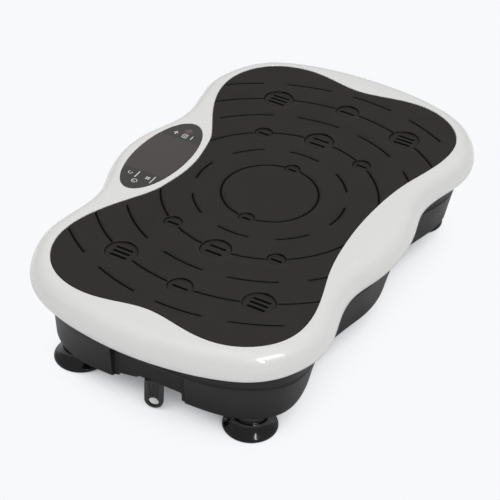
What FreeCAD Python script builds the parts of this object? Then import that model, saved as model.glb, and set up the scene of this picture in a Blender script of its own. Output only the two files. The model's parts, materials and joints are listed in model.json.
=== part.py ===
import FreeCAD, Part
import math
import os

# Vibration plate: oscillating exercise platform on four suction feet.
# Millimetres. +X long axis, +Y towards the console side (rear), +Z up.
# Origin: centre of the floor plane under the machine.

os.makedirs("parts", exist_ok=True)
Vector = FreeCAD.Vector
SIDES = (-1, 1)

# ---------------------------------------------------------------- shared dimensions
ROW_Y = -5.944             # shift on export: puts the origin at the middle of the footprint
FIT = 0.02                 # press and thread clearance
RUN = 0.05                 # running clearance
WALL = 3.0                 # moulded wall thickness

MAT_TOP = 121.0            # standing surface above the floor
MAT_UNDER = MAT_TOP - 3.0
COVER_UNDER = MAT_UNDER - WALL     # underside of the cover skin
PLATE_UNDER = COVER_UNDER - 3.0    # underside of the steel platform plate

BASE_Z = 26.0              # underside of the base tub
BASE_FLOOR = BASE_Z + WALL
SHOULDER_Z = 66.0
BASE_TOP = 98.0
CHASSIS_Z = 38.0
CHASSIS_TOP = CHASSIS_Z + 3.0
BLOCK_FOOT_TOP = CHASSIS_TOP + 5.0

CONSOLE_Y = 122.0
CONSOLE_A = 69.0           # half axes of the oval console panel
CONSOLE_B = 28.3

PIVOT_Z = 75.0             # rocking axis of the platform
PIVOT_R = 8.0
PIVOT_BUSH_R = 11.0
PIVOT_BLOCK_Y = 80.0
PIVOT_BLOCK_HALF = 9.0     # half depth along Y

MOTOR_X = -105.0
DRIVE_Z = 70.0             # height of the motor and eccentric axes
ECC_X = 70.0
ECC_BLOCK_Y = (-24.0, 30.0)
ECC_BLOCK_HALF = 6.0

SCREW_R = 2.5
SCREW_HOLE_R = SCREW_R + FIT
BLOCK_SCREW_X = 22.0       # screw distance from the middle of a bearing block
STUD_R = 4.0               # foot studs and buffer stems

SLOT_HALF = 1.5            # half width of the narrow slots
SLOT_ROUND = 1.4

# Half outlines, x >= 0: (x, y) from the console side round to the front side.
MAT_HALF = [
    (0.00, 85.88), (17.37, 86.93), (34.49, 89.79), (51.50, 93.47), (67.62, 99.93),
    (82.90, 108.27), (98.21, 116.54), (113.92, 124.03), (130.18, 130.22), (147.05, 134.47),
    (164.36, 136.00), (181.62, 134.00), (197.93, 128.05), (212.26, 118.26), (223.55, 105.08),
    (231.05, 89.42), (234.64, 72.43), (234.54, 55.05), (231.58, 37.91), (227.60, 20.97),
    (225.29, 3.74), (226.60, -13.58), (230.16, -30.62), (233.52, -47.69), (234.87, -65.03),
    (232.85, -82.28), (226.80, -98.56), (217.04, -112.92), (204.06, -124.43), (188.39, -131.87),
    (171.28, -134.82), (153.90, -134.28), (136.75, -131.41), (119.87, -127.15), (103.16, -122.27),
    (86.38, -117.67), (69.32, -114.22), (52.10, -111.71), (34.77, -110.11), (17.40, -109.00),
    (0.00, -108.64)]
BASE_FOOT_HALF = [
    (0.00, 132.86), (16.89, 131.76), (33.54, 128.72), (50.12, 125.21), (66.79, 122.19),
    (83.63, 120.50), (100.53, 121.01), (117.32, 123.43), (133.82, 127.29), (150.34, 130.55),
    (167.00, 131.91), (183.28, 130.41), (198.22, 124.38), (210.66, 113.92), (220.27, 100.23),
    (226.91, 84.64), (230.37, 67.92), (231.50, 50.90), (231.54, 33.90), (231.20, 16.95),
    (230.72, 0.00), (230.18, -16.95), (229.69, -33.90), (229.19, -50.83), (228.12, -67.67),
    (225.41, -84.25), (219.99, -100.09), (211.40, -114.54), (199.14, -125.84), (183.69, -132.10),
    (166.98, -133.21), (150.22, -131.28), (133.76, -127.55), (117.33, -123.37), (100.56, -120.79),
    (83.62, -120.26), (66.77, -122.04), (50.11, -125.19), (33.56, -128.81), (16.90, -131.87),
    (0.00, -132.86)]
BASE_SHOULDER_HALF = [
    (0.00, 136.33), (17.15, 135.07), (34.06, 131.82), (50.91, 128.13), (67.79, 124.69),
    (84.88, 122.86), (102.05, 123.74), (118.98, 126.86), (135.66, 131.17), (152.47, 134.86),
    (169.62, 136.21), (186.54, 133.89), (201.65, 126.24), (213.27, 113.90), (222.33, 99.35),
    (229.25, 83.94), (233.01, 67.59), (234.66, 50.84), (235.31, 33.96), (235.85, 17.00),
    (236.56, 0.00), (237.11, -17.05), (237.21, -34.11), (236.43, -51.09), (234.34, -67.92),
    (230.28, -84.37), (223.42, -100.01), (214.67, -115.07), (203.21, -128.43), (187.60, -137.40),
    (169.73, -140.53), (151.86, -138.99), (134.94, -134.19), (118.62, -128.47), (102.00, -124.16),
    (84.87, -122.70), (67.75, -124.43), (50.89, -128.06), (34.10, -131.99), (17.18, -135.33),
    (0.00, -136.29)]
# White cover, outside and inside surface: (z, half outline at that height).
RIM_OUTER = [
    (94.0, [(0.00, 167.66),
    (18.67, 166.12), (36.93, 161.88), (54.63, 155.66), (72.47, 149.91), (90.98, 147.40),
    (109.67, 148.49), (128.14, 151.80), (146.60, 155.18), (165.26, 156.23), (183.59, 152.83),
    (201.10, 146.13), (217.45, 137.05), (231.54, 124.77), (242.31, 109.55), (249.80, 92.36),
    (255.43, 74.46), (259.51, 56.15), (262.41, 37.60), (264.25, 18.92), (264.88, 0.16),
    (264.27, -18.60), (262.45, -37.27), (259.57, -55.83), (255.51, -74.15), (249.91, -92.06),
    (242.46, -109.27), (231.94, -124.68), (218.19, -137.35), (202.02, -146.70), (184.44, -153.16),
    (166.00, -155.77), (147.49, -153.39), (129.30, -148.73), (111.04, -144.42), (92.45, -142.18),
    (73.76, -142.97), (55.45, -146.87), (37.24, -151.39), (18.72, -154.35), (0.00, -155.38)]),
    (98.5, [(0.00, 169.56),
    (18.97, 168.00), (37.48, 163.70), (55.29, 157.44), (72.92, 151.76), (91.04, 149.30),
    (109.41, 150.37), (127.76, 153.66), (146.33, 157.06), (165.37, 158.13), (184.14, 154.65),
    (201.88, 147.86), (218.53, 138.61), (232.94, 126.05), (243.98, 110.46), (251.59, 93.01),
    (257.26, 74.95), (261.38, 56.50), (264.29, 37.84), (266.15, 19.05), (266.78, 0.16),
    (266.17, -18.72), (264.33, -37.52), (261.44, -56.17), (257.35, -74.63), (251.70, -92.70),
    (244.14, -110.16), (233.38, -125.92), (219.32, -138.89), (202.81, -148.43), (184.94, -154.99),
    (166.00, -157.67), (147.08, -155.24), (128.82, -150.57), (110.68, -146.29), (92.37, -144.08),
    (74.01, -144.85), (55.94, -148.71), (37.63, -153.25), (18.93, -156.24), (0.00, -157.28)]),
    (103.0, [(0.00, 170.26),
    (19.08, 168.69), (37.69, 164.37), (55.53, 158.09), (73.09, 152.44), (91.06, 150.00),
    (109.32, 151.07), (127.63, 154.34), (146.23, 157.75), (165.40, 158.82), (184.34, 155.32),
    (202.17, 148.50), (218.92, 139.19), (233.46, 126.52), (244.59, 110.79), (252.24, 93.25),
    (257.94, 75.13), (262.07, 56.63), (264.99, 37.93), (266.85, 19.09), (267.48, 0.16),
    (266.87, -18.77), (265.03, -37.61), (262.13, -56.30), (258.03, -74.81), (252.35, -92.94),
    (244.76, -110.49), (233.91, -126.38), (219.73, -139.45), (203.10, -149.07), (185.12, -155.67),
    (165.99, -158.37), (146.92, -155.92), (128.64, -151.24), (110.55, -146.98), (92.34, -144.77),
    (74.11, -145.54), (56.12, -149.38), (37.77, -153.93), (19.00, -156.94), (0.00, -157.98)]),
    (107.5, [(0.00, 169.26),
    (18.92, 167.70), (37.40, 163.41), (55.19, 157.16), (72.85, 151.46), (91.03, 149.00),
    (109.45, 150.08), (127.82, 153.36), (146.38, 156.76), (165.35, 157.83), (184.05, 154.36),
    (201.76, 147.59), (218.35, 138.36), (232.72, 125.84), (243.71, 110.31), (251.30, 92.91),
    (256.97, 74.87), (261.09, 56.44), (263.99, 37.80), (265.85, 19.03), (266.48, 0.16),
    (265.87, -18.70), (264.04, -37.48), (261.14, -56.12), (257.06, -74.56), (251.41, -92.60),
    (243.87, -110.02), (233.15, -125.73), (219.14, -138.65), (202.69, -148.16), (184.86, -154.70),
    (166.00, -157.37), (147.14, -154.95), (128.90, -150.28), (110.74, -145.99), (92.38, -143.78),
    (73.98, -144.55), (55.86, -148.42), (37.57, -152.95), (18.89, -155.94), (0.00, -156.98)]),
    (111.5, [(0.00, 167.18),
    (18.59, 165.65), (36.79, 161.43), (54.44, 155.16), (72.32, 149.30), (90.96, 146.68),
    (109.77, 147.77), (128.28, 151.12), (146.69, 154.55), (165.23, 155.64), (183.42, 152.29),
    (200.87, 145.64), (217.14, 136.61), (231.14, 124.41), (241.82, 109.29), (249.24, 92.16),
    (254.77, 74.29), (258.74, 56.01), (261.53, 37.48), (263.31, 18.86), (263.91, 0.16),
    (263.33, -18.54), (261.57, -37.16), (258.79, -55.69), (254.85, -73.97), (249.34, -91.85),
    (241.96, -109.00), (231.52, -124.31), (217.86, -136.90), (201.79, -146.19), (184.28, -152.59),
    (166.00, -155.17), (147.62, -152.82), (129.45, -148.16), (111.16, -143.81), (92.48, -141.46),
    (73.65, -142.14), (55.22, -145.98), (37.04, -150.44), (18.62, -153.38), (0.00, -154.40)]),
    (115.0, [(0.00, 165.21),
    (18.28, 163.72), (36.22, 159.55), (53.68, 153.12), (71.71, 146.79), (90.87, 143.76),
    (110.17, 144.78), (128.84, 148.33), (147.07, 151.97), (165.09, 153.20), (182.75, 150.08),
    (199.96, 143.62), (215.90, 134.82), (229.52, 122.93), (239.82, 108.21), (246.94, 91.33),
    (252.09, 73.57), (255.57, 55.43), (257.92, 37.02), (259.42, 18.60), (259.93, 0.16),
    (259.43, -18.28), (257.95, -36.70), (255.60, -55.10), (252.13, -73.25), (246.99, -91.00),
    (239.89, -107.90), (229.78, -122.81), (216.50, -135.05), (200.81, -144.05), (183.65, -150.26),
    (166.00, -152.73), (148.15, -150.46), (130.07, -145.83), (111.65, -141.28), (92.61, -138.50),
    (73.20, -138.75), (54.25, -142.32), (36.22, -146.56), (18.18, -149.40), (0.00, -150.39)]),
    (117.6, [(0.00, 162.91),
    (17.92, 161.48), (35.56, 157.36), (52.80, 150.74), (71.01, 143.87), (90.77, 140.35),
    (110.64, 141.31), (129.49, 145.10), (147.50, 148.97), (164.93, 150.36), (181.97, 147.51),
    (198.89, 141.27), (214.46, 132.73), (227.63, 121.21), (237.50, 106.95), (244.27, 90.36),
    (248.97, 72.73), (251.88, 54.74), (253.73, 36.48), (254.90, 18.30), (255.30, 0.16),
    (254.90, -17.98), (253.73, -36.16), (251.88, -54.42), (248.97, -72.41), (244.26, -90.01),
    (237.48, -106.62), (227.77, -121.06), (214.92, -132.89), (199.68, -141.57), (182.91, -147.56),
    (166.01, -149.89), (148.77, -147.72), (130.78, -143.12), (112.21, -138.33), (92.76, -135.07),
    (72.67, -134.80), (53.12, -138.06), (35.27, -142.05), (17.68, -144.77), (0.00, -145.74)]),
    (119.4, [(0.00, 160.41),
    (17.53, 159.04), (34.84, 154.98), (51.83, 148.15), (70.23, 140.68), (90.65, 136.63),
    (111.15, 137.52), (130.20, 141.56), (147.97, 145.69), (164.76, 147.27), (181.11, 144.70),
    (197.72, 138.70), (212.89, 130.45), (225.56, 119.32), (234.96, 105.57), (241.35, 89.30),
    (245.56, 71.82), (247.86, 54.00), (249.14, 35.89), (249.96, 17.97), (250.24, 0.15),
    (249.96, -17.66), (249.13, -35.57), (247.82, -53.68), (245.51, -71.50), (241.28, -88.93),
    (234.85, -105.22), (225.56, -119.15), (213.20, -130.53), (198.44, -138.86), (182.10, -144.60),
    (166.01, -146.79), (149.45, -144.73), (131.56, -140.15), (112.83, -135.12), (92.92, -131.31),
    (72.10, -130.49), (51.89, -133.41), (34.23, -137.13), (17.13, -139.71), (0.00, -140.64)]),
    (120.6, [(0.00, 157.75),
    (17.11, 156.43), (34.07, 152.44), (50.80, 145.39), (69.41, 137.29), (90.53, 132.67),
    (111.70, 133.48), (130.96, 137.80), (148.47, 142.20), (164.57, 143.97), (180.20, 141.70),
    (196.48, 135.97), (211.21, 128.03), (223.37, 117.32), (232.26, 104.11), (238.24, 88.17),
    (241.93, 70.85), (243.57, 53.21), (244.27, 35.26), (244.70, 17.62), (244.86, 0.15),
    (244.69, -17.32), (244.24, -34.94), (243.50, -52.88), (241.84, -70.52), (238.11, -87.78),
    (232.05, -103.74), (223.21, -117.12), (211.36, -128.02), (197.12, -135.98), (181.25, -141.46),
    (166.02, -143.49), (150.16, -141.54), (132.39, -137.00), (113.48, -131.70), (93.10, -127.32),
    (71.49, -125.91), (50.58, -128.47), (33.13, -131.88), (16.55, -134.33), (0.00, -135.23)]),
    (121.2, [(0.00, 154.87),
    (16.66, 153.62), (33.24, 149.70), (49.69, 142.41), (68.52, 133.63), (90.40, 128.40),
    (112.29, 129.13), (131.78, 133.73), (149.02, 138.44), (164.37, 140.41), (179.22, 138.47),
    (195.15, 133.03), (209.40, 125.41), (220.99, 115.16), (229.35, 102.53), (234.89, 86.96),
    (238.01, 69.81), (238.94, 52.36), (239.00, 34.58), (239.02, 17.24), (239.04, 0.15),
    (239.01, -16.95), (238.95, -34.26), (238.84, -52.03), (237.86, -69.47), (234.68, -86.54),
    (229.03, -102.13), (220.68, -114.93), (209.38, -125.31), (195.69, -132.86), (180.32, -138.06),
    (166.03, -139.93), (150.94, -138.10), (133.29, -133.59), (114.19, -128.00), (93.28, -123.00),
    (70.82, -120.96), (49.16, -123.12), (31.94, -126.22), (15.92, -128.51), (0.00, -129.38)]),
]
RIM_INNER = [
    (93.0, [(0.00, 164.66),
    (18.19, 163.16), (36.06, 159.01), (53.58, 152.85), (71.76, 146.99), (90.89, 144.40),
    (110.07, 145.52), (128.73, 148.85), (147.03, 152.21), (165.09, 153.23), (182.71, 149.96),
    (199.86, 143.40), (215.74, 134.58), (229.32, 122.75), (239.67, 108.12), (246.98, 91.34),
    (252.53, 73.69), (256.56, 55.61), (259.43, 37.21), (261.26, 18.72), (261.88, 0.16),
    (261.28, -18.40), (259.47, -36.89), (256.62, -55.29), (252.61, -73.38), (247.09, -91.04),
    (239.81, -107.86), (229.67, -122.71), (216.42, -134.93), (200.77, -143.98), (183.65, -150.26),
    (166.00, -152.77), (148.15, -150.46), (130.07, -145.83), (111.61, -141.48), (92.58, -139.18),
    (73.37, -139.99), (54.68, -143.97), (36.62, -148.45), (18.40, -151.37), (0.00, -152.38)]),
    (98.5, [(0.00, 166.46),
    (18.48, 164.93), (36.58, 160.73), (54.21, 154.53), (72.19, 148.74), (90.94, 146.20),
    (109.83, 147.30), (128.38, 150.62), (146.77, 153.99), (165.19, 155.03), (183.24, 151.68),
    (200.60, 145.04), (216.76, 136.06), (230.65, 123.96), (241.25, 108.98), (248.67, 91.96),
    (254.27, 74.15), (258.33, 55.94), (261.22, 37.44), (263.06, 18.84), (263.68, 0.16),
    (263.08, -18.52), (261.26, -37.12), (258.39, -55.62), (254.35, -73.84), (248.78, -91.65),
    (241.40, -108.70), (231.03, -123.89), (217.49, -136.39), (201.52, -145.61), (184.12, -152.00),
    (166.00, -154.57), (147.76, -152.22), (129.61, -147.57), (111.27, -143.24), (92.51, -140.98),
    (73.60, -141.78), (55.14, -145.71), (36.99, -150.21), (18.59, -153.16), (0.00, -154.18)]),
    (103.0, [(0.00, 167.06),
    (18.57, 165.53), (36.76, 161.31), (54.42, 155.10), (72.33, 149.33), (90.96, 146.80),
    (109.75, 147.90), (128.26, 151.21), (146.69, 154.58), (165.23, 155.63), (183.41, 152.26),
    (200.85, 145.58), (217.10, 136.55), (231.09, 124.36), (241.78, 109.26), (249.24, 92.16),
    (254.85, 74.31), (258.92, 56.04), (261.81, 37.52), (263.65, 18.88), (264.28, 0.16),
    (263.68, -18.56), (261.85, -37.20), (258.98, -55.72), (254.93, -73.99), (249.35, -91.85),
    (241.93, -108.98), (231.49, -124.29), (217.84, -136.87), (201.77, -146.16), (184.28, -152.58),
    (166.00, -155.17), (147.63, -152.80), (129.46, -148.15), (111.15, -143.83), (92.48, -141.58),
    (73.68, -142.37), (55.30, -146.29), (37.11, -150.80), (18.66, -153.75), (0.00, -154.78)]),
    (107.5, [(0.00, 165.86),
    (18.38, 164.34), (36.41, 160.16), (54.00, 153.97), (72.05, 148.16), (90.93, 145.60),
    (109.91, 146.71), (128.49, 150.03), (146.86, 153.39), (165.16, 154.43), (183.06, 151.11),
    (200.35, 144.49), (216.42, 135.57), (230.21, 123.55), (240.72, 108.69), (248.11, 91.75),
    (253.69, 74.00), (257.74, 55.83), (260.62, 37.37), (262.46, 18.80), (263.08, 0.16),
    (262.48, -18.48), (260.66, -37.05), (257.80, -55.51), (253.77, -73.69), (248.22, -91.44),
    (240.87, -108.42), (230.58, -123.50), (217.13, -135.90), (201.27, -145.07), (183.96, -151.42),
    (166.00, -153.97), (147.89, -151.63), (129.76, -146.99), (111.38, -142.66), (92.53, -140.38),
    (73.53, -141.18), (54.99, -145.13), (36.87, -149.63), (18.53, -152.56), (0.00, -153.58)]),
    (110.5, [(0.00, 164.81),
    (18.22, 163.32), (36.11, 159.16), (53.58, 152.85), (71.70, 146.74), (90.88, 143.93),
    (110.14, 145.00), (128.81, 148.45), (147.07, 151.94), (165.08, 153.07), (182.69, 149.88),
    (199.85, 143.38), (215.74, 134.58), (229.32, 122.74), (239.62, 108.10), (246.82, 91.28),
    (252.16, 73.59), (255.93, 55.49), (258.57, 37.10), (260.26, 18.66), (260.83, 0.16),
    (260.28, -18.34), (258.61, -36.78), (255.98, -55.17), (252.23, -73.28), (246.90, -90.97),
    (239.72, -107.81), (229.62, -122.67), (216.38, -134.87), (200.73, -143.88), (183.61, -150.12),
    (166.00, -152.60), (148.19, -150.31), (130.10, -145.68), (111.65, -141.23), (92.60, -138.69),
    (73.27, -139.25), (54.44, -143.05), (36.41, -147.44), (18.28, -150.32), (0.00, -151.32)]),
    (113.0, [(0.00, 162.11),
    (17.79, 160.67), (35.33, 156.59), (52.59, 150.19), (70.97, 143.74), (90.78, 140.64),
    (110.59, 141.70), (129.45, 145.27), (147.51, 148.86), (164.91, 150.06), (181.84, 147.08),
    (198.66, 140.77), (214.13, 132.25), (227.21, 120.82), (237.07, 106.71), (243.99, 90.26),
    (249.06, 72.76), (252.53, 54.86), (254.93, 36.63), (256.47, 18.40), (256.99, 0.16),
    (256.49, -18.09), (254.96, -36.32), (252.57, -54.55), (249.11, -72.45), (244.04, -89.93),
    (237.12, -106.43), (227.41, -120.76), (214.65, -132.52), (199.51, -141.20), (182.82, -147.24),
    (166.01, -149.59), (148.84, -147.40), (130.86, -142.79), (112.24, -138.19), (92.75, -135.39),
    (72.80, -135.72), (53.48, -139.44), (35.62, -143.69), (17.87, -146.49), (0.00, -147.47)]),
    (115.0, [(0.00, 158.53),
    (17.23, 157.15), (34.29, 153.17), (51.28, 146.67), (70.01, 139.76), (90.64, 136.28),
    (111.18, 137.31), (130.30, 141.06), (148.10, 144.79), (164.69, 146.09), (180.71, 143.38),
    (197.09, 137.32), (211.99, 129.15), (224.41, 118.28), (233.69, 104.89), (240.25, 88.90),
    (244.96, 71.66), (248.04, 54.03), (250.11, 36.01), (251.45, 18.07), (251.91, 0.16),
    (251.46, -17.76), (250.13, -35.70), (248.05, -53.72), (244.97, -71.35), (240.26, -88.56),
    (233.67, -104.60), (224.50, -118.23), (212.37, -129.40), (197.88, -137.65), (181.78, -143.42),
    (166.02, -145.61), (149.71, -143.53), (131.87, -138.97), (113.01, -134.18), (92.94, -131.01),
    (72.17, -131.05), (52.21, -134.64), (34.57, -138.73), (17.32, -141.42), (0.00, -142.37)]),
]


# ---------------------------------------------------------------- helpers
def full(half):
    """Closes a half outline by mirroring it; the result runs clockwise."""
    return list(half) + [(-x, y) for x, y in half[-2:0:-1]]


def inset(points, distance):
    """Moves a closed clockwise outline inwards (outwards when negative)."""
    moved = []
    for i, (x, y) in enumerate(points):
        ax, ay = points[i - 1]
        bx, by = points[(i + 1) % len(points)]
        step = distance / math.hypot(bx - ax, by - ay)
        moved.append((x + (by - ay) * step, y - (bx - ax) * step))
    return moved


def spline_wire(points, z, edges=1):
    """Closed smooth outline, split into the given number of edges."""
    curve = Part.BSplineCurve()
    n = len(points)
    curve.interpolate(Points=[Vector(x, y, z) for x, y in points], PeriodicFlag=True,
                      Parameters=[float(i) for i in range(n + 1)])
    if edges == 1:
        return Part.Wire([curve.toShape()])
    return Part.Wire([curve.toShape(i * n / edges, (i + 1) * n / edges) for i in range(edges)])


def loft(levels, ruled=False, edges=1):
    wires = [spline_wire(points, z, edges) for z, points in levels]
    return Part.makeLoft(wires, True, ruled)


def prism(points, z0, z1):
    return Part.Face(spline_wire(points, z0)).extrude(Vector(0, 0, z1 - z0))


def box(x0, x1, y0, y1, z0, z1):
    return Part.makeBox(x1 - x0, abs(y1 - y0), z1 - z0, Vector(x0, min(y0, y1), z0))


def rod_z(x, y, z0, z1, radius):
    return Part.makeCylinder(radius, z1 - z0, Vector(x, y, z0), Vector(0, 0, 1))


def rod_y(x, z, y0, y1, radius):
    return Part.makeCylinder(radius, abs(y1 - y0), Vector(x, min(y0, y1), z), Vector(0, 1, 0))


def rod_x(y, z, x0, x1, radius):
    return Part.makeCylinder(radius, x1 - x0, Vector(x0, y, z), Vector(1, 0, 0))


def tube_y(x, z, y0, y1, outer_r, bore_r):
    return rod_y(x, z, y0, y1, outer_r).cut(rod_y(x, z, y0 - 1, y1 + 1, bore_r))


def motor_rod(y0, y1, radius):
    return rod_y(MOTOR_X, DRIVE_Z, y0, y1, radius)


def fuse(shapes):
    return shapes[0].multiFuse(shapes[1:]).removeSplitter()


def console_oval(half_x, half_y, z0, z1):
    ellipse = Part.Ellipse(Vector(0, CONSOLE_Y, z0), half_x, half_y).toShape()
    return Part.Face(Part.Wire([ellipse])).extrude(Vector(0, 0, z1 - z0))


def rounded_box(x0, x1, y0, y1, z0, z1, radius):
    """Box with its four vertical edges rounded."""
    block = box(x0, x1, y0, y1, z0, z1)
    upright = [e for e in block.Edges if abs(e.tangentAt(e.FirstParameter).z) > 0.99]
    return block.makeFillet(radius, upright)


def slot(x, y0, y1, z0, z1):
    return rounded_box(x - SLOT_HALF, x + SLOT_HALF, y0, y1, z0, z1, SLOT_ROUND)


def polygon_face(corners):
    return Part.Face(Part.makePolygon(corners + [corners[0]]))


def polygon_prism(points, z0, z1):
    return polygon_face([Vector(x, y, z0) for x, y in points]).extrude(Vector(0, 0, z1 - z0))


def revolve(profile, x, y):
    """Turns an (r, z) profile about the vertical axis through x, y."""
    face = polygon_face([Vector(r, 0, z) for r, z in profile])
    solid = face.revolve(Vector(0, 0, 0), Vector(0, 0, 1), 360)
    solid.translate(Vector(x, y, 0))
    return solid


def centred(count, pitch):
    return [(k - (count - 1) / 2.0) * pitch for k in range(count)]


def polar_points(centre_u, centre_v, radius, degrees):
    angles = [math.radians(a) for a in degrees]
    return [(centre_u + radius * math.cos(a), centre_v + radius * math.sin(a)) for a in angles]


def four_corners(*points):
    return [(sx * x, sy * y) for sx in SIDES for sy in SIDES for x, y in points]


def screw_holes(places, z0, z1):
    return [rod_z(x, y, z0, z1, SCREW_HOLE_R) for x, y in places]


def socket_screw(x, y, head_under, shank):
    screw = fuse([rod_z(x, y, head_under - shank, head_under, SCREW_R),
                  rod_z(x, y, head_under, head_under + 3.0, 4.5)])
    return screw.cut(rod_z(x, y, head_under + 1.0, head_under + 4.0, 2.0))


def save(name, shape):
    """Writes a shape, or a list of shapes, as one STEP file."""
    if isinstance(shape, list):
        shape = Part.makeCompound(shape)
    found = shape.Solids
    piece = (found[0] if len(found) == 1 else Part.makeCompound(found)).copy()
    piece.translate(Vector(0, ROW_Y, 0))
    piece.exportStep("parts/%s.step" % name)


MAT = full(MAT_HALF)
FOOT = full(BASE_FOOT_HALF)
SHOULDER = full(BASE_SHOULDER_HALF)

# Screw and mounting places (x, y) shared between pieces
COVER_SCREWS = [(sx * x, y) for sx in SIDES for x, y in
                ((60.0, 64.0), (60.0, -80.0), (175.0, 95.0), (175.0, -95.0), (200.0, 0.0))]
CHASSIS_SCREWS = four_corners((150.0, 82.0), (45.0, 82.0))
BLOCK_SCREWS = (four_corners((BLOCK_SCREW_X, PIVOT_BLOCK_Y))
                + [(ECC_X + sx * BLOCK_SCREW_X, y) for sx in SIDES for y in ECC_BLOCK_Y])
BRACKET_SCREWS = [(MOTOR_X + sx * 20.0, 40.5) for sx in SIDES]
BUFFERS = four_corners((178.0, 50.0))
FEET = [(sx * 196.5, sy * 97.0) for sx, sy in ((-1, -1), (1, -1), (1, 1), (-1, 1))]

# ---------------------------------------------------------------- standing mat
RING_Y = -6.4              # centre of the concentric mat rings
RING_R = dict(A=50.0, B=79.0, C=111.5, D=147.0, E=180.0, F=211.5)
GROOVE_W = 1.9
GROOVE_D = 0.9
DISH_FLOOR = MAT_TOP - 1.7
SLOT_FLOOR = DISH_FLOOR - 0.7
# Round dishes, mirrored to -X:
# ring, bearing from +X (degrees), radius, slot count, slot pitch, slot length
DISHES = [
    ("A", 0.0, 8.4, 1, 0.0, 9.5),
    ("C", 0.0, 16.0, 2, 9.5, 18.5),
    ("E", 0.0, 12.9, 1, 0.0, 17.0),
    ("C", -31.5, 9.7, 1, 0.0, 12.5),
    ("E", -25.0, 16.5, 3, 6.4, 19.5),
    ("C", 31.5, 9.7, 1, 0.0, 12.5),
    ("E", 25.0, 16.5, 3, 6.4, 19.5),
]
# Broken ring arcs on the +X side, mirrored to -X: ring, from angle, to angle (degrees)
DASHES = [("B", -12, 12), ("B", 33, 57), ("B", -57, -33),
          ("D", 27, 49.5), ("D", -1.8, 16), ("D", -31, -12.3), ("D", -52, -43.3),
          ("F", 30.3, 44), ("F", 9.4, 22.5), ("F", -10.5, 2.1), ("F", -31.5, -17.9)]


def ring_groove(ring, start=0, end=360):
    radius, height = RING_R[ring], GROOVE_D + 0.5
    origin, up = Vector(0, 0, 0), Vector(0, 0, 1)
    groove = Part.makeCylinder(radius + GROOVE_W / 2, height, origin, up, end - start)
    groove = groove.cut(rod_z(0, 0, -1, height + 1, radius - GROOVE_W / 2))
    groove.rotate(origin, up, start)
    groove.translate(Vector(0, RING_Y, MAT_TOP - GROOVE_D))
    return groove


def foot_mat():
    grooves = [ring_groove(ring) for ring in ("A", "C", "E")]
    grooves += [ring_groove("B", 78, 102), ring_groove("B", 258, 282)]
    for ring, start, end in DASHES:
        grooves.append(ring_groove(ring, start, end))
        grooves.append(ring_groove(ring, 180 - end, 180 - start))
    dishes, slots = [], []
    for sx in SIDES:
        for ring, bearing, radius, count, pitch, length in DISHES:
            x, y = polar_points(0, RING_Y, RING_R[ring], [bearing])[0]
            dishes.append(rod_z(sx * x, y, DISH_FLOOR, MAT_TOP + 2, radius))
            for offset in centred(count, pitch):
                slots.append(slot(sx * x + offset, y - length / 2, y + length / 2,
                                  SLOT_FLOOR, MAT_TOP + 2))
    return prism(MAT, MAT_UNDER, MAT_TOP).cut(grooves).cut(dishes).cut(slots)


# ---------------------------------------------------------------- white cover
PANEL_UNDER = MAT_TOP - 3.0
COUNTERSINK_Z = 115.4      # where the cone of a cover screw meets its shank


def top_cover():
    outer = loft([(z, full(half)) for z, half in RIM_OUTER])
    inner = loft([(z, full(half)) for z, half in RIM_INNER])
    mat_pocket = prism(inset(MAT, -0.45), MAT_UNDER, MAT_TOP + 5)
    panel_pocket = console_oval(CONSOLE_A + 0.3, CONSOLE_B + 0.3, PANEL_UNDER, MAT_TOP + 5)
    window = console_oval(CONSOLE_A - 8, CONSOLE_B - 8, COVER_UNDER - 2, MAT_TOP)
    hole = [(0, MAT_UNDER + 1), (5.1, MAT_UNDER + 1), (5.1, MAT_UNDER),
            (SCREW_HOLE_R, COUNTERSINK_Z), (SCREW_HOLE_R, 110), (0, 110)]
    holes = [revolve(hole, x, y) for x, y in COVER_SCREWS]
    return outer.cut(inner).cut([mat_pocket, panel_pocket, window] + holes)


def cover_screws():
    head_top = MAT_UNDER - 0.05
    profile = [(0, head_top), (5.0, head_top), (SCREW_R, COUNTERSINK_Z),
               (SCREW_R, 107.0), (0, 107.0)]
    return [revolve(profile, x, y) for x, y in COVER_SCREWS]


# ---------------------------------------------------------------- console
BOARD_Z = 110.0
BOARD_TOP = BOARD_Z + 1.6
TRAY_A, TRAY_B = 68.2, 26.2        # half axes of the tray
TRAY_WALL = 1.7
SENSORS = [(-44.5, 132.0), (-44.5, 112.0), (-52.0, 122.5),
           (44.0, 132.5), (44.0, 120.5), (44.0, 112.0)]


def console_panel():
    top = MAT_TOP + 0.4
    panel = console_oval(CONSOLE_A, CONSOLE_B, PANEL_UNDER, top)
    rim = [e for e in panel.Edges
           if abs(e.BoundBox.ZMin - top) < 0.01 and abs(e.BoundBox.ZMax - top) < 0.01]
    # Guards the chamfer: the panel keeps its square rim if the kernel refuses it.
    try:
        panel = panel.makeChamfer(0.4, rim)
    except Exception:
        pass
    return panel


def display_board():
    return rounded_box(-54, 54, CONSOLE_Y - 15, CONSOLE_Y + 15, BOARD_Z, BOARD_TOP, 4)


def console_tray():
    hollow = console_oval(TRAY_A - TRAY_WALL, TRAY_B - TRAY_WALL, BOARD_Z - 2.6, COVER_UNDER + 1)
    tray = console_oval(TRAY_A, TRAY_B, BOARD_Z - 4.4, COVER_UNDER).cut(hollow)
    return fuse([tray] + [rod_z(x, CONSOLE_Y + y, BOARD_Z - 3.5, BOARD_Z, 3.0)
                          for x, y in four_corners((46.0, 10.0))])


def display_module():
    return rounded_box(-30, 30, CONSOLE_Y - 9, CONSOLE_Y + 9, BOARD_TOP, PANEL_UNDER - 0.2, 1.0)


def touch_sensors():
    return [rod_z(x, y, BOARD_TOP, PANEL_UNDER - 0.2, 2.6) for x, y in SENSORS]


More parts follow.
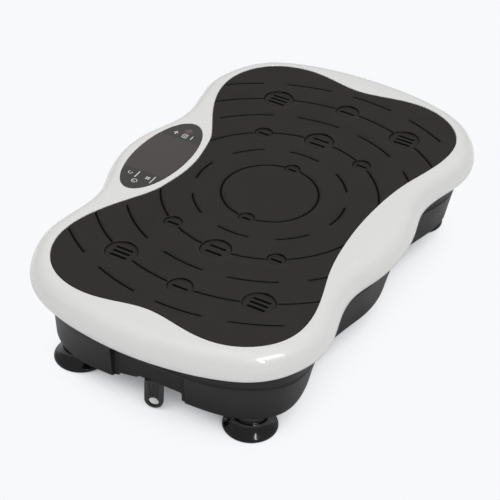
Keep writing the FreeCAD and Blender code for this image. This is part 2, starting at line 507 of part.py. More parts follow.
def ir_receiver():
    x, y = 51.0, CONSOLE_Y
    return fuse([box(x - 2, x + 2, y - 3, y + 3, BOARD_TOP, BOARD_TOP + 3.0),
                 rod_z(x, y, BOARD_TOP + 2.8, PANEL_UNDER - 0.4, 1.9)])


# ---------------------------------------------------------------- platform steelwork
def platform_plate():
    plate = prism(inset(MAT, 9.0), PLATE_UNDER, COVER_UNDER)
    return plate.cut(screw_holes(COVER_SCREWS, 100, 120))


def platform_rails():
    """Two channels, open below, under the plate."""
    half_length, half_width, wall = 190, 8.0, 2
    rails = []
    for side in SIDES:
        y0, y1 = side * 50.0 - half_width, side * 50.0 + half_width
        rail = box(-half_length, half_length, y0, y1, PLATE_UNDER - 8, PLATE_UNDER)
        rails.append(rail.cut(box(wall - half_length, half_length - wall, y0 + wall, y1 - wall,
                                  PLATE_UNDER - 10, PLATE_UNDER - wall)))
    return rails


def platform_bracket(side):
    """Hanging plate, narrowed round the pivot, with a flange under the platform."""
    web_y, flange_y, tongue_top = side * 60.5, side * 66.5, PIVOT_Z + 2
    web = box(-28, 28, web_y, flange_y, PIVOT_Z - 14, PLATE_UNDER)
    web = web.cut([box(-40, -15, -200, 200, 0, tongue_top),
                   box(15, 40, -200, 200, 0, tongue_top)])
    flange = box(-28, 28, flange_y, side * 74.0, PLATE_UNDER - 4, PLATE_UNDER)
    return fuse([web, flange]).cut(rod_y(0, PIVOT_Z, -200, 200, PIVOT_R + FIT))


def pivot_pins():
    return [fuse([rod_y(0, PIVOT_Z, side * 58.0, side * 93.0, PIVOT_R),
                  rod_y(0, PIVOT_Z, side * 56.0, side * 60.4, PIVOT_R + 3)]) for side in SIDES]


def drive_yoke():
    yoke = box(ECC_X - 27, ECC_X + 27, -8, 8, 45.0, PLATE_UNDER)
    window = rounded_box(-18.5, 18.5, -20.3, 20.3, -20, 20, 8.0)
    window.rotate(Vector(0, 0, 0), Vector(1, 0, 0), 90)
    window.translate(Vector(ECC_X, 0, DRIVE_Z))
    return yoke.cut(window)


# ---------------------------------------------------------------- base tub
ARCH_Z = 36.0              # underside of the recess wall, over the hook pocket
POCKET_X = 209.0           # inner end of the hook pocket
RECESS_Y = -2.9            # centre of the end recesses
RECESS_TOP = 63.6
HOOK_X = 218.6             # swivel axis of a band hook
HOOK_Y = -4.4
HOOK_PIN_R = 2.5
UPPER_INSET = 1.3          # step of the tub wall above the shoulder
# End recess, plan: x, half width, share of the growth taken off x
RECESS_PLAN = [(262, 46, 0), (237.5, 42.8, 0), (234, 41.2, 0), (231, 40.2, 0),
               (229, 39.4, 0.4), (227.9, 38.2, 0.8), (227.5, 36.5, 1)]
# Hook pocket, end view: y, z, shares of the growth added to y and to z
POCKET_SECTION = [(33.0, 10, 1, 0), (33.0, 26.6, 1, 0), (31.4, 29.6, 1, 1),
                  (22.5, 31.4, 0.6, 1), (13.0, 33.2, 0.6, 1), (11.4, 33.9, 0.6, 1),
                  (9.4, ARCH_Z, 0.3, 1), (-38.0, ARCH_Z, -1, 1), (-38.0, 10, -1, 0)]

# Mains inlet and power switch, side by side in the rear wall
PAD_Y = 118.5              # face that the flanges sit on
FITTING_Y = 100            # inner end of the fittings
FITTING_Z = 46.0
FLANGE_HALF_Z = 12
BODY_HALF_Z = 9
INLET = (76, 16, 13)       # x, half width of the flange, half width of the body
SWITCH = (112, 14, 12)


def recess(side, grow):
    edge = [(x - share * grow, half + grow) for x, half, share in RECESS_PLAN]
    edge += [(x, -y) for x, y in reversed(edge)]
    return polygon_prism([(side * x, y + RECESS_Y) for x, y in edge], 10, RECESS_TOP + grow)


def hook_pocket(side, grow):
    inner_x = POCKET_X - grow
    face = polygon_face([Vector(side * inner_x, y + gy * grow, z + gz * grow)
                         for y, z, gy, gz in POCKET_SECTION])
    return face.extrude(Vector(side * (231.5 - inner_x), 0, 0))


def end_cutters(grow):
    return [cutter(side, grow) for cutter in (recess, hook_pocket) for side in SIDES]


def fitting_box(x, half_x, y0, y1, half_z):
    return box(x - half_x, x + half_x, y0, y1, FITTING_Z - half_z, FITTING_Z + half_z)


def base_shell():
    upper = inset(SHOULDER, UPPER_INSET)
    hull = loft([(BASE_Z, inset(FOOT, 0.9)), (BASE_Z + 1.0, FOOT), (SHOULDER_Z, SHOULDER),
                 (SHOULDER_Z + 1.0, upper), (BASE_TOP, upper)], True, 8)
    cavity = loft([(BASE_FLOOR, inset(FOOT, 3.2)),
                   (SHOULDER_Z - 2.0, inset(SHOULDER, UPPER_INSET + WALL)),
                   (BASE_TOP + 1.0, inset(SHOULDER, 4.4))], True, 8)
    shell = hull.cut(end_cutters(0)).cut(cavity.cut(end_cutters(WALL)))

    # Bosses for the chassis, buffers and feet: places, top, radius, bore radius, bore z0, z1
    added, removed = [], []
    for places, top, radius, bore, z0, z1 in (
            (CHASSIS_SCREWS, CHASSIS_Z, 8.0, SCREW_HOLE_R, BASE_FLOOR, CHASSIS_Z + 1),
            (BUFFERS, 80.0, 11.0, STUD_R + FIT, 66.0, 81.0),
            (FEET, 40.0, 13.0, STUD_R + FIT, 0, 45.0)):
        added += [rod_z(x, y, BASE_FLOOR - 1, top, radius) for x, y in places]
        removed += [rod_z(x, y, z0, z1, bore) for x, y in places]
    # Flat pad, flange rebates and openings for the inlet and the switch
    added.append(box(56, 132, 108.0, 119.5, 31.0, 62.0))
    removed += [fitting_box(x, flange + 1, PAD_Y, 140, FLANGE_HALF_Z + 1)
                for x, flange, body in (INLET, SWITCH)]
    removed += [fitting_box(x, body, 100, 130, BODY_HALF_Z) for x, flange, body in (INLET, SWITCH)]
    # Cooling slots under the motor
    removed += [slot(MOTOR_X + offset, -34, 24, BASE_Z - 2, BASE_FLOOR + 2)
                for offset in centred(8, 7.0)]
    # Bosses over the hook swivels
    for side in SIDES:
        added.append(rod_z(side * HOOK_X, HOOK_Y, ARCH_Z, ARCH_Z + 4.0, 8.0))
        removed.append(rod_z(side * HOOK_X, HOOK_Y, ARCH_Z - 1, ARCH_Z + 6, HOOK_PIN_R + FIT))
    return shell.multiFuse(added).cut(removed)


# ---------------------------------------------------------------- chassis and pivots
def chassis_plate():
    plate = rounded_box(-162, 162, -92, 92, CHASSIS_Z, CHASSIS_TOP, 10)
    return plate.cut(screw_holes(CHASSIS_SCREWS + BLOCK_SCREWS + BRACKET_SCREWS, 20, 60))


def chassis_screws():
    return [socket_screw(x, y, CHASSIS_TOP, 11.0) for x, y in CHASSIS_SCREWS]


def bearing_block(x, y, axis_z, half_depth, foot_half, web_half, head_r, bore_r):
    """Screwed foot, web and round head; half sizes along Y and X."""
    y0, y1 = y - half_depth, y + half_depth
    block = fuse([box(x - foot_half, x + foot_half, y0, y1, CHASSIS_TOP, BLOCK_FOOT_TOP),
                  box(x - web_half, x + web_half, y0, y1, BLOCK_FOOT_TOP - 1, axis_z),
                  rod_y(x, axis_z, y0, y1, head_r)])
    screws = [(x + sx * BLOCK_SCREW_X, y) for sx in SIDES]
    return block.cut([rod_y(x, axis_z, y - 20, y + 20, bore_r + FIT)]
                     + screw_holes(screws, 30, 60))


def pivot_block(y):
    return bearing_block(0, y, PIVOT_Z, PIVOT_BLOCK_HALF, 31, 14, 14.0, PIVOT_BUSH_R)


def pivot_bushes():
    return [tube_y(0, PIVOT_Z, y - PIVOT_BLOCK_HALF, y + PIVOT_BLOCK_HALF,
                   PIVOT_BUSH_R, PIVOT_R + RUN) for y in (-PIVOT_BLOCK_Y, PIVOT_BLOCK_Y)]


def block_screws():
    return [socket_screw(x, y, BLOCK_FOOT_TOP, 8.5) for x, y in BLOCK_SCREWS]


# ---------------------------------------------------------------- motor
MOTOR_R = 27.0
MOTOR_Y0, MOTOR_Y1 = -42.0, 30.0
BELL_Y1 = MOTOR_Y0 + 6
MOTOR_SHAFT_R = 4.0
MOTOR_BEARING_R = 8.0
MOTOR_SCREW_R = 2.0
MOTOR_SCREWS = polar_points(MOTOR_X, DRIVE_Z, 19, (45, 135, 225, 315))     # x, z
BELT_Y = 53.0


def motor_end_bell():
    bell = motor_rod(MOTOR_Y0, BELL_Y1, MOTOR_R)
    bell = bell.cut(motor_rod(MOTOR_Y0 + 2, MOTOR_Y0 + 8, MOTOR_BEARING_R + FIT))
    return bell.cut([rod_y(x, z, MOTOR_Y0 - 1, MOTOR_Y0 + 8, 3.0)
                     for x, z in polar_points(MOTOR_X, DRIVE_Z, 17, range(30, 390, 60))])


def motor_can():
    can = motor_rod(BELL_Y1, MOTOR_Y1, MOTOR_R)
    can = can.cut([motor_rod(MOTOR_Y0, MOTOR_Y1 - 5, MOTOR_R - 4),
                   motor_rod(MOTOR_Y0, MOTOR_Y1 + 5, MOTOR_BEARING_R + FIT)])
    return can.cut([rod_y(x, z, MOTOR_Y1 - 4.5, MOTOR_Y1 + 1, MOTOR_SCREW_R + FIT)
                    for x, z in MOTOR_SCREWS])


def motor_rotor():
    return fuse([motor_rod(MOTOR_Y0 + 2.5, BELT_Y + 9, MOTOR_SHAFT_R),
                 motor_rod(MOTOR_Y0 + 12, MOTOR_Y1 - 10, MOTOR_R - 5.5)])


def motor_bearings():
    return [tube_y(MOTOR_X, DRIVE_Z, y, y + 4.0, MOTOR_BEARING_R, MOTOR_SHAFT_R + RUN)
            for y in (MOTOR_Y0 + 2.0, MOTOR_Y1 - 4.5)]


def motor_bracket():
    x0, x1 = MOTOR_X - 29, MOTOR_X + 29
    bracket = fuse([box(x0, x1, MOTOR_Y1, MOTOR_Y1 + 4, CHASSIS_TOP, DRIVE_Z + 28),
                    box(x0, x1, MOTOR_Y1, MOTOR_Y1 + 16, CHASSIS_TOP, CHASSIS_TOP + 3)])
    bracket = bracket.cut([motor_rod(0, 80, 12.0)] + [rod_y(x, z, 20, 80, MOTOR_SCREW_R + FIT)
                                                      for x, z in MOTOR_SCREWS])
    return bracket.cut(screw_holes(BRACKET_SCREWS, 30, 60))


def motor_screws():
    return [fuse([rod_y(x, z, MOTOR_Y1 - 4.0, MOTOR_Y1 + 4, MOTOR_SCREW_R),
                  rod_y(x, z, MOTOR_Y1 + 4, MOTOR_Y1 + 6.4, 3.6)]) for x, z in MOTOR_SCREWS]


def bracket_screws():
    return [socket_screw(x, y, CHASSIS_TOP + 3.0, 6.5) for x, y in BRACKET_SCREWS]


# ---------------------------------------------------------------- drive
MOTOR_PULLEY_R = 10.0
DRIVEN_PULLEY_R = 24.0
BELT_CLEAR = 0.05
BELT_THICK = 2.6
ECC_SHAFT_R = 6.0
ECC_BEARING_R = 12.0
ECC_LOBE_R = 9.0
LOBE_Z = DRIVE_Z + 2.2     # shaft axis plus the throw


def motor_pulley():
    parts = [motor_rod(BELT_Y - 5, BELT_Y + 5, MOTOR_PULLEY_R)]
    for side in SIDES:
        # Flange, and a short core joining it to the pulley
        parts += [motor_rod(BELT_Y + side * 5.1, BELT_Y + side * 6.5, MOTOR_PULLEY_R + 2),
                  motor_rod(BELT_Y + side * 4.9, BELT_Y + side * 5.2, MOTOR_PULLEY_R)]
    return fuse(parts).cut(motor_rod(20, 80, MOTOR_SHAFT_R + FIT))


def driven_pulley():
    pulley = rod_y(ECC_X, DRIVE_Z, BELT_Y - 5, BELT_Y + 5, DRIVEN_PULLEY_R)
    pulley = pulley.cut([rod_y(x, z, BELT_Y - 9, BELT_Y + 9, 4.5)
                         for x, z in polar_points(ECC_X, DRIVE_Z, 15, range(0, 360, 60))])
    return pulley.cut(rod_y(ECC_X, DRIVE_Z, 20, 80, ECC_SHAFT_R + FIT))


def belt_loop(offset, half_width):
    """Solid loop lying the given offset outside both pulleys."""
    ra, rb = MOTOR_PULLEY_R + offset, DRIVEN_PULLEY_R + offset
    y = BELT_Y - half_width
    lean = math.asin((rb - ra) / (ECC_X - MOTOR_X))
    nx, nz = -math.sin(lean), math.cos(lean)
    top_a = Vector(MOTOR_X + ra * nx, y, DRIVE_Z + ra * nz)
    top_b = Vector(ECC_X + rb * nx, y, DRIVE_Z + rb * nz)
    low_a = Vector(top_a.x, y, 2 * DRIVE_Z - top_a.z)
    low_b = Vector(top_b.x, y, 2 * DRIVE_Z - top_b.z)
    wire = Part.Wire([Part.LineSegment(top_a, top_b).toShape(),
                      Part.Arc(top_b, Vector(ECC_X + rb, y, DRIVE_Z), low_b).toShape(),
                      Part.LineSegment(low_b, low_a).toShape(),
                      Part.Arc(low_a, Vector(MOTOR_X - ra, y, DRIVE_Z), top_a).toShape()])
    return Part.Face(wire).extrude(Vector(0, 2 * half_width, 0))


def drive_belt():
    return belt_loop(BELT_CLEAR + BELT_THICK, 4.8).cut(belt_loop(BELT_CLEAR, 9))


def eccentric_shaft():
    return fuse([rod_y(ECC_X, DRIVE_Z, -34.0, BELT_Y + 8.0, ECC_SHAFT_R),
                 rod_y(ECC_X, LOBE_Z, -6.0, 6.0, ECC_LOBE_R),
                 rod_y(ECC_X, DRIVE_Z, -9.0, -6.0, 11.0)])


def eccentric_roller():
    return tube_y(ECC_X, LOBE_Z, -5.5, 5.5, 15.0, ECC_LOBE_R + RUN)


def eccentric_block(y):
    return bearing_block(ECC_X, y, DRIVE_Z, ECC_BLOCK_HALF, 30, 12, 16.0, ECC_BEARING_R)


def eccentric_bearings():
    return [tube_y(ECC_X, DRIVE_Z, y - ECC_BLOCK_HALF, y + ECC_BLOCK_HALF,
                   ECC_BEARING_R, ECC_SHAFT_R + RUN) for y in ECC_BLOCK_Y]


def end_buffers():
    return [fuse([rod_z(x, y, 80.0, 96.0, 9.0), rod_z(x, y, 67.0, 80.5, STUD_R)])
            for x, y in BUFFERS]


# ---------------------------------------------------------------- electrics
POWER_Z = CHASSIS_TOP + 9  # underside of the power board
POWER_TOP = POWER_Z + 1.6
PIN_R = 1.2
PIN_X = (INLET[0] - 4, INLET[0] + 4)
ROCKER_Y = 117.2
# Rocker section about its pin: y, z
ROCKER = [(3.4, 5.4), (1.5, 0.0), (3.4, -5.4), (-1.6, -5.4), (-3.4, 0.0), (-1.6, 5.4)]
# Cable centre lines: x, y, z
MOTOR_CABLE = [(MOTOR_X, MOTOR_Y0 - 3.0, 56.0), (MOTOR_X + 6, -53.0, 51.5),
               (MOTOR_X + 22, -55.0, 48.0), (-50, -55.0, 46.5), (-10, -55.0, 46.2),
               (30, -55.0, 46.2), (70.0, -54.5, 46.5), (90.0, -53.0, 48.0), (103.0, -48.0, 52.0)]
MAINS_CABLE = [(76.0, 97.5, 46.0), (80.0, 88.0, 46.5), (100.0, 66.0, 46.0),
               (132.0, 30.0, 46.0), (140.0, 6.0, 50.0), (141.0, -3.5, 52.5)]


def power_board():
    return rounded_box(106, 158, -66, -6, POWER_Z, POWER_TOP, 3)


def board_standoffs():
    return [rod_z(x, y, CHASSIS_TOP, POWER_Z, 3.5) for x in (111, 153) for y in (-61, -11)]


def power_transformer():
    return rounded_box(113, 135, -54, -34, POWER_TOP, POWER_TOP + 17, 1.5)


def board_capacitors():
    return [rod_z(x, y, POWER_TOP, POWER_TOP + 13, 4.5)
            for x, y in ((146, -22), (146, -36), (133, -20))]


def fitting(x, flange, body):
    return fuse([fitting_box(x, flange, PAD_Y, PAD_Y + 2, FLANGE_HALF_Z),
                 fitting_box(x, body - RUN, FITTING_Y, PAD_Y, BODY_HALF_Z - RUN)])


def power_inlet():
    x = INLET[0]
    socket = rounded_box(x - 10, x + 10, 106, 125, FITTING_Z - 6, FITTING_Z + 6, 0.5)
    return fitting(*INLET).cut([socket] + [rod_y(px, FITTING_Z, 102, 110, PIN_R + FIT)
                                           for px in PIN_X])


def inlet_pins():
    return [rod_y(x, FITTING_Z, 103, 116, PIN_R) for x in PIN_X]


def switch_housing():
    x = SWITCH[0]
    return fitting(*SWITCH).cut([fitting_box(x, 9, 105, 125, 6.6),
                                 rod_x(ROCKER_Y, FITTING_Z, x - 10.7, x + 10.7, 1.05)])


def switch_rocker():
    x = SWITCH[0]
    face = polygon_face([Vector(x - 8.6, ROCKER_Y + y, FITTING_Z + z) for y, z in ROCKER])
    return fuse([face.extrude(Vector(17.2, 0, 0)),
                 rod_x(ROCKER_Y, FITTING_Z, x - 10.4, x + 10.4, 1.0)])


def cable(points, radius):
    curve = Part.BSplineCurve()
    curve.interpolate([Vector(*p) for p in points])
    start = curve.tangent(curve.FirstParameter)[0]
    section = Part.Wire([Part.Circle(Vector(*points[0]), start, radius).toShape()])
    return Part.Wire([curve.toShape()]).makePipeShell([section], True, False)


# ---------------------------------------------------------------- suction feet
CUP_R = 27.3
NECK_R = 17.0
# Cup profile: r, z
CUP = [(STUD_R + FIT, 14.0), (STUD_R + FIT, BASE_Z), (NECK_R, BASE_Z), (NECK_R, 17.0),
       (17.8, 13.6), (20.4, 9.6), (24.2, 5.4), (CUP_R, 2.4), (CUP_R, 0.8), (CUP_R - 0.8, 0.0),
       (CUP_R - 1.8, 0.0), (22.0, 3.4), (15.0, 6.8), (7.0, 8.8), (0.0, 9.4), (0.0, 14.0)]


def foot_studs():
    return [rod_z(x, y, 14.0, 47.0, STUD_R) for x, y in FEET]


def foot_nuts():
    return [polygon_prism(polar_points(x, y, 7.0, range(0, 360, 60)), 40.0, 46.0)
            .cut(rod_z(x, y, 30, 60, STUD_R + FIT)) for x, y in FEET]


# ---------------------------------------------------------------- band hooks
HOOK_REACH = 7.6           # swivel axis to the middle of the hanging leg
HOOK_HALF_W = 9.5
HOOK_THICK = 2.6
HOOK_TOP = 35.7
HOOK_END_Z = 11.9          # centre of the rounded lower end
HOOK_EYE_Z = 9.9
HOOK_EYE_R = 5.2
HOOK_TURN = 15.0           # how far the hooks are turned at rest
# Rivet profile: r, z
RIVET = [(0.0, 31.4), (4.4, 31.4), (5.0, 32.0), (5.0, 32.9), (HOOK_PIN_R, 32.9),
         (HOOK_PIN_R, ARCH_Z + 4.1), (4.6, ARCH_Z + 4.1), (4.6, ARCH_Z + 5.4),
         (3.8, ARCH_Z + 6.0), (0.0, ARCH_Z + 6.0)]


def hook_pins():
    return [revolve(RIVET, side * HOOK_X, HOOK_Y) for side in SIDES]


def band_hook(side, turn):
    """Angle bracket: short leg under the pocket roof, long leg hanging with the eye."""
    x0, x1 = HOOK_REACH - HOOK_THICK / 2, HOOK_REACH + HOOK_THICK / 2
    leg_z = HOOK_TOP - HOOK_THICK
    hook = fuse([box(x0, x1, -HOOK_HALF_W, HOOK_HALF_W, HOOK_END_Z, HOOK_TOP),
                 rod_x(0, HOOK_END_Z, x0, x1, HOOK_HALF_W),
                 box(0, x1, -6.5, 6.5, leg_z, HOOK_TOP), rod_z(0, 0, leg_z, HOOK_TOP, 6.5)])
    hook = hook.cut([rod_z(0, 0, 20, 50, HOOK_PIN_R + RUN),
                     rod_x(0, HOOK_EYE_Z, x0 - 5, x1 + 5, HOOK_EYE_R)])
    # Three upright grooves in the outer face
    hook = hook.cut([box(x1 - 0.5, x1 + 1, y - 0.65, y + 0.65, 17.5, 33.0)
                     for y in centred(3, 3.7)])
    hook.rotate(Vector(0, 0, 0), Vector(0, 0, 1), turn)
    hook.translate(Vector(side * HOOK_X, HOOK_Y, 0))
    return hook


# ---------------------------------------------------------------- export
# Each of these functions is named after its file.
for build in (foot_mat, top_cover, cover_screws, console_panel, display_board, console_tray,
              display_module, touch_sensors, ir_receiver, platform_plate, platform_rails,
              pivot_pins, drive_yoke, base_shell, chassis_plate, chassis_screws, pivot_bushes,
              block_screws, motor_end_bell, motor_rotor, motor_bearings, motor_bracket,
              motor_can, motor_screws, bracket_screws, motor_pulley, driven_pulley, drive_belt,
              eccentric_shaft, eccentric_roller, eccentric_bearings, end_buffers, power_board,
              board_standoffs, power_transformer, board_capacitors, power_inlet, inlet_pins,
              switch_housing, switch_rocker, foot_studs, foot_nuts, hook_pins):
    save(build.__name__, build())
for end, side, ecc_y in zip(("front", "rear"), SIDES, ECC_BLOCK_Y):
    save("platform_bracket_" + end, platform_bracket(side))
    save("pivot_block_" + end, pivot_block(side * PIVOT_BLOCK_Y))
    save("eccentric_block_" + end, eccentric_block(ecc_y))
save("motor_cable", cable(MOTOR_CABLE, 2.0))
save("mains_cable", cable(MAINS_CABLE, 2.4))
for number, (x, y) in enumerate(FEET, 1):
    save("suction_cup_%d" % number, revolve(CUP, x, y))
save("band_hook_left", band_hook(-1, 180.0 + HOOK_TURN))
save("band_hook_right", band_hook(1, -HOOK_TURN))
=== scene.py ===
"""A vibration plate: a black base tub on four suction feet carries a white top cover with a
ribbed standing mat and a smoked oval console.

The long side lies along x, the console is on the +y side and z is up, with the feet on z = 0.
Shapes are worked out in millimetres and turned into metres when a mesh is built.
"""
import json
import math
from collections import namedtuple

import bpy
import bmesh
import numpy as np
from mathutils import Matrix, Vector, geometry, kdtree


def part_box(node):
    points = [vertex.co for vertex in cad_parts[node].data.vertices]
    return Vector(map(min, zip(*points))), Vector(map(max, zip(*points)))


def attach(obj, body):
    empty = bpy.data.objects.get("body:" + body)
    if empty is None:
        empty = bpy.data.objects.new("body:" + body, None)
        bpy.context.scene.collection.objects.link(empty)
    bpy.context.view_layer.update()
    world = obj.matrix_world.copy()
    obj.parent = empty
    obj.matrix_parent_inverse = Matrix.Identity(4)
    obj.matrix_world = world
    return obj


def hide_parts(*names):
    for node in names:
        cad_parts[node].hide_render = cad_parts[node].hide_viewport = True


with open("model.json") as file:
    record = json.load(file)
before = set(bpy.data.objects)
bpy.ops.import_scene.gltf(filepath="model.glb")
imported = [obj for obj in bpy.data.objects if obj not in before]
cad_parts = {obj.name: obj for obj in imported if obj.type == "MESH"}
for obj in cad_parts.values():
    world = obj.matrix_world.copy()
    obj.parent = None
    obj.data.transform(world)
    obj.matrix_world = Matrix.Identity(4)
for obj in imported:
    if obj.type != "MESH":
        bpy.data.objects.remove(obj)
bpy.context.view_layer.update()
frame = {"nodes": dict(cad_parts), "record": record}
MM = 0.001
scene = bpy.context.scene

# ------------------------------------------------------------------ outlines
# Half outlines (x >= 0): columns are x, y in mm, from the console side (+y) round to the
# opposite side (-y), at equal steps along each curve.
MAT_HALF = [
    (0.00, 85.88), (17.37, 86.93), (34.49, 89.79), (51.50, 93.47), (67.62, 99.93),
    (82.90, 108.27), (98.21, 116.54), (113.92, 124.03), (130.18, 130.22), (147.05, 134.47),
    (164.36, 136.00), (181.62, 134.00), (197.93, 128.05), (212.26, 118.26), (223.55, 105.08),
    (231.05, 89.42), (234.64, 72.43), (234.54, 55.05), (231.58, 37.91), (227.60, 20.97),
    (225.29, 3.74), (226.60, -13.58), (230.16, -30.62), (233.52, -47.69), (234.87, -65.03),
    (232.85, -82.28), (226.80, -98.56), (217.04, -112.92), (204.06, -124.43),
    (188.39, -131.87), (171.28, -134.82), (153.90, -134.28), (136.75, -131.41),
    (119.87, -127.15), (103.16, -122.27), (86.38, -117.67), (69.32, -114.22),
    (52.10, -111.71), (34.77, -110.11), (17.40, -109.00), (0.00, -108.64)]
FOOT_HALF = [
    (0.00, 132.86), (16.89, 131.76), (33.54, 128.72), (50.12, 125.21), (66.79, 122.19),
    (83.63, 120.50), (100.53, 121.01), (117.32, 123.43), (133.82, 127.29), (150.34, 130.55),
    (167.00, 131.91), (183.28, 130.41), (198.22, 124.38), (210.66, 113.92), (220.27, 100.23),
    (226.91, 84.64), (230.37, 67.92), (231.50, 50.90), (231.54, 33.90), (231.20, 16.95),
    (230.72, 0.00), (230.18, -16.95), (229.69, -33.90), (229.19, -50.83), (228.12, -67.67),
    (225.41, -84.25), (219.99, -100.09), (211.40, -114.54), (199.14, -125.84),
    (183.69, -132.10), (166.98, -133.21), (150.22, -131.28), (133.76, -127.55),
    (117.33, -123.37), (100.56, -120.79), (83.62, -120.26), (66.77, -122.04),
    (50.11, -125.19), (33.56, -128.81), (16.90, -131.87), (0.00, -132.86)]
SHOULDER_HALF = [
    (0.00, 136.33), (17.15, 135.07), (34.06, 131.82), (50.91, 128.13), (67.79, 124.69),
    (84.88, 122.86), (102.05, 123.74), (118.98, 126.86), (135.66, 131.17), (152.47, 134.86),
    (169.62, 136.21), (186.54, 133.89), (201.65, 126.24), (213.27, 113.90), (222.33, 99.35),
    (229.25, 83.94), (233.01, 67.59), (234.66, 50.84), (235.31, 33.96), (235.85, 17.00),
    (236.56, 0.00), (237.11, -17.05), (237.21, -34.11), (236.43, -51.09), (234.34, -67.92),
    (230.28, -84.37), (223.42, -100.01), (214.67, -115.07), (203.21, -128.43),
    (187.60, -137.40), (169.73, -140.53), (151.86, -138.99), (134.94, -134.19),
    (118.62, -128.47), (102.00, -124.16), (84.87, -122.70), (67.75, -124.43),
    (50.89, -128.06), (34.10, -131.99), (17.18, -135.33), (0.00, -136.29)]
RIM_HALF = [
    (0.00, 167.66), (18.67, 166.12), (36.93, 161.88), (54.63, 155.66), (72.47, 149.91),
    (90.98, 147.40), (109.67, 148.49), (128.14, 151.80), (146.60, 155.18), (165.26, 156.23),
    (183.59, 152.83), (201.10, 146.13), (217.45, 137.05), (231.54, 124.77), (242.31, 109.55),
    (249.80, 92.36), (255.43, 74.46), (259.51, 56.15), (262.41, 37.60), (264.25, 18.92),
    (264.88, 0.16), (264.27, -18.60), (262.45, -37.27), (259.57, -55.83), (255.51, -74.15),
    (249.91, -92.06), (242.46, -109.27), (231.94, -124.68), (218.19, -137.35),
    (202.02, -146.70), (184.44, -153.16), (166.00, -155.77), (147.49, -153.39),
    (129.30, -148.73), (111.04, -144.42), (92.45, -142.18), (73.76, -142.97),
    (55.45, -146.87), (37.24, -151.39), (18.72, -154.35), (0.00, -155.38)]


# ------------------------------------------------------------------ plane geometry
def cad(name):
    """Low and high corners of a CAD piece, in mm."""
    low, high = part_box(name)
    return np.array(low) * 1000.0, np.array(high) * 1000.0


def resample(half, count):
    """Closed smooth outline of count points through the mirrored half outline."""
    half = np.array(half, float)
    full = np.vstack([half, np.c_[-half[-2:0:-1, 0], half[-2:0:-1, 1]]])
    spectrum = np.fft.fft(full[:, 0] + 1j * full[:, 1])
    padded = np.zeros(count, complex)
    middle = len(full) // 2
    padded[:middle] = spectrum[:middle]
    padded[-middle:] = spectrum[-middle:]
    curve = np.fft.ifft(padded) * count / len(full)
    return np.c_[curve.real, curve.imag]


def fit_box(points, low, high):
    start, end = points.min(0), points.max(0)
    return (points - start) / (end - start) * (np.array(high) - np.array(low)) + np.array(low)


def inward_normals(loop):
    tangent = np.roll(loop, -1, 0) - np.roll(loop, 1, 0)
    tangent /= np.hypot(tangent[:, 0], tangent[:, 1])[:, None]
    normal = np.c_[tangent[:, 1], -tangent[:, 0]]
    if ((loop.mean(0) - loop) * normal).sum(1).mean() < 0:
        normal = -normal
    return normal


def hann(width):
    kernel = np.hanning(width)
    return kernel / kernel.sum()


def smooth_closed(values, width):
    wrapped = np.r_[values[-width:], values, values[:width]]
    return np.convolve(wrapped, hann(width), "same")[width:-width]


def smoothstep(t):
    t = np.clip(t, 0, 1)
    return t * t * (3 - 2 * t)


def inside(points, loop):
    x, y = points[:, 0], points[:, 1]
    result = np.zeros(len(points), bool)
    for (x0, y0), (x1, y1) in zip(loop, np.roll(loop, -1, 0)):
        if y0 == y1:
            continue
        spans = (y0 > y) != (y1 > y)
        result ^= spans & (x < (x1 - x0) * (y - y0) / (y1 - y0) + x0)
    return result


def nearest(points, targets):
    """Distance from each point to the closest target."""
    tree = kdtree.KDTree(len(targets))
    for i, target in enumerate(targets):
        tree.insert((target[0], target[1], 0.0), i)
    tree.balance()
    return np.array([tree.find((p[0], p[1], 0.0))[2] for p in points])


def even_loop(loop, step):
    """The closed loop walked again at even steps."""
    closed = np.vstack([loop, loop[:1]])
    along = np.r_[0, np.cumsum(np.hypot(*np.diff(closed, axis=0).T))]
    count = max(8, int(along[-1] / step))
    t = np.linspace(0, along[-1], count, endpoint=False)
    return np.c_[np.interp(t, along, closed[:, 0]), np.interp(t, along, closed[:, 1])]


def hexgrid(low, high, step):
    xs = np.arange(low[0], high[0], step)
    ys = np.arange(low[1], high[1], step * 0.866)
    return np.array([(x + (step / 2 if j % 2 else 0), y) for j, y in enumerate(ys) for x in xs])


def capsule(x, y, radius, straight):
    """Round-ended slot along y; straight is half the length between the end centres."""
    t = np.linspace(0, math.pi, 9)
    top = np.c_[x + radius * np.cos(t), y + straight + radius * np.sin(t)]
    bottom = np.c_[x - radius * np.cos(t), y - straight - radius * np.sin(t)]
    return np.vstack([top, bottom])


def circle(x, y, radius, count):
    t = np.linspace(0, 2 * math.pi, count, endpoint=False)
    return np.c_[x + radius * np.cos(t), y + radius * np.sin(t)]


def catmull(points, steps):
    """Smooth open curve through points, with steps per span."""
    points = np.array(points, float)
    ext = np.vstack([2 * points[0] - points[1], points, 2 * points[-1] - points[-2]])
    out = []
    for p0, p1, p2, p3 in zip(ext, ext[1:], ext[2:], ext[3:]):
        for k in range(steps):
            t = k / steps
            out.append(0.5 * ((2 * p1) + (-p0 + p2) * t
                              + (2 * p0 - 5 * p1 + 4 * p2 - p3) * t * t
                              + (-p0 + 3 * p1 - 3 * p2 + p3) * t ** 3))
    out.append(points[-1])
    return np.array(out)


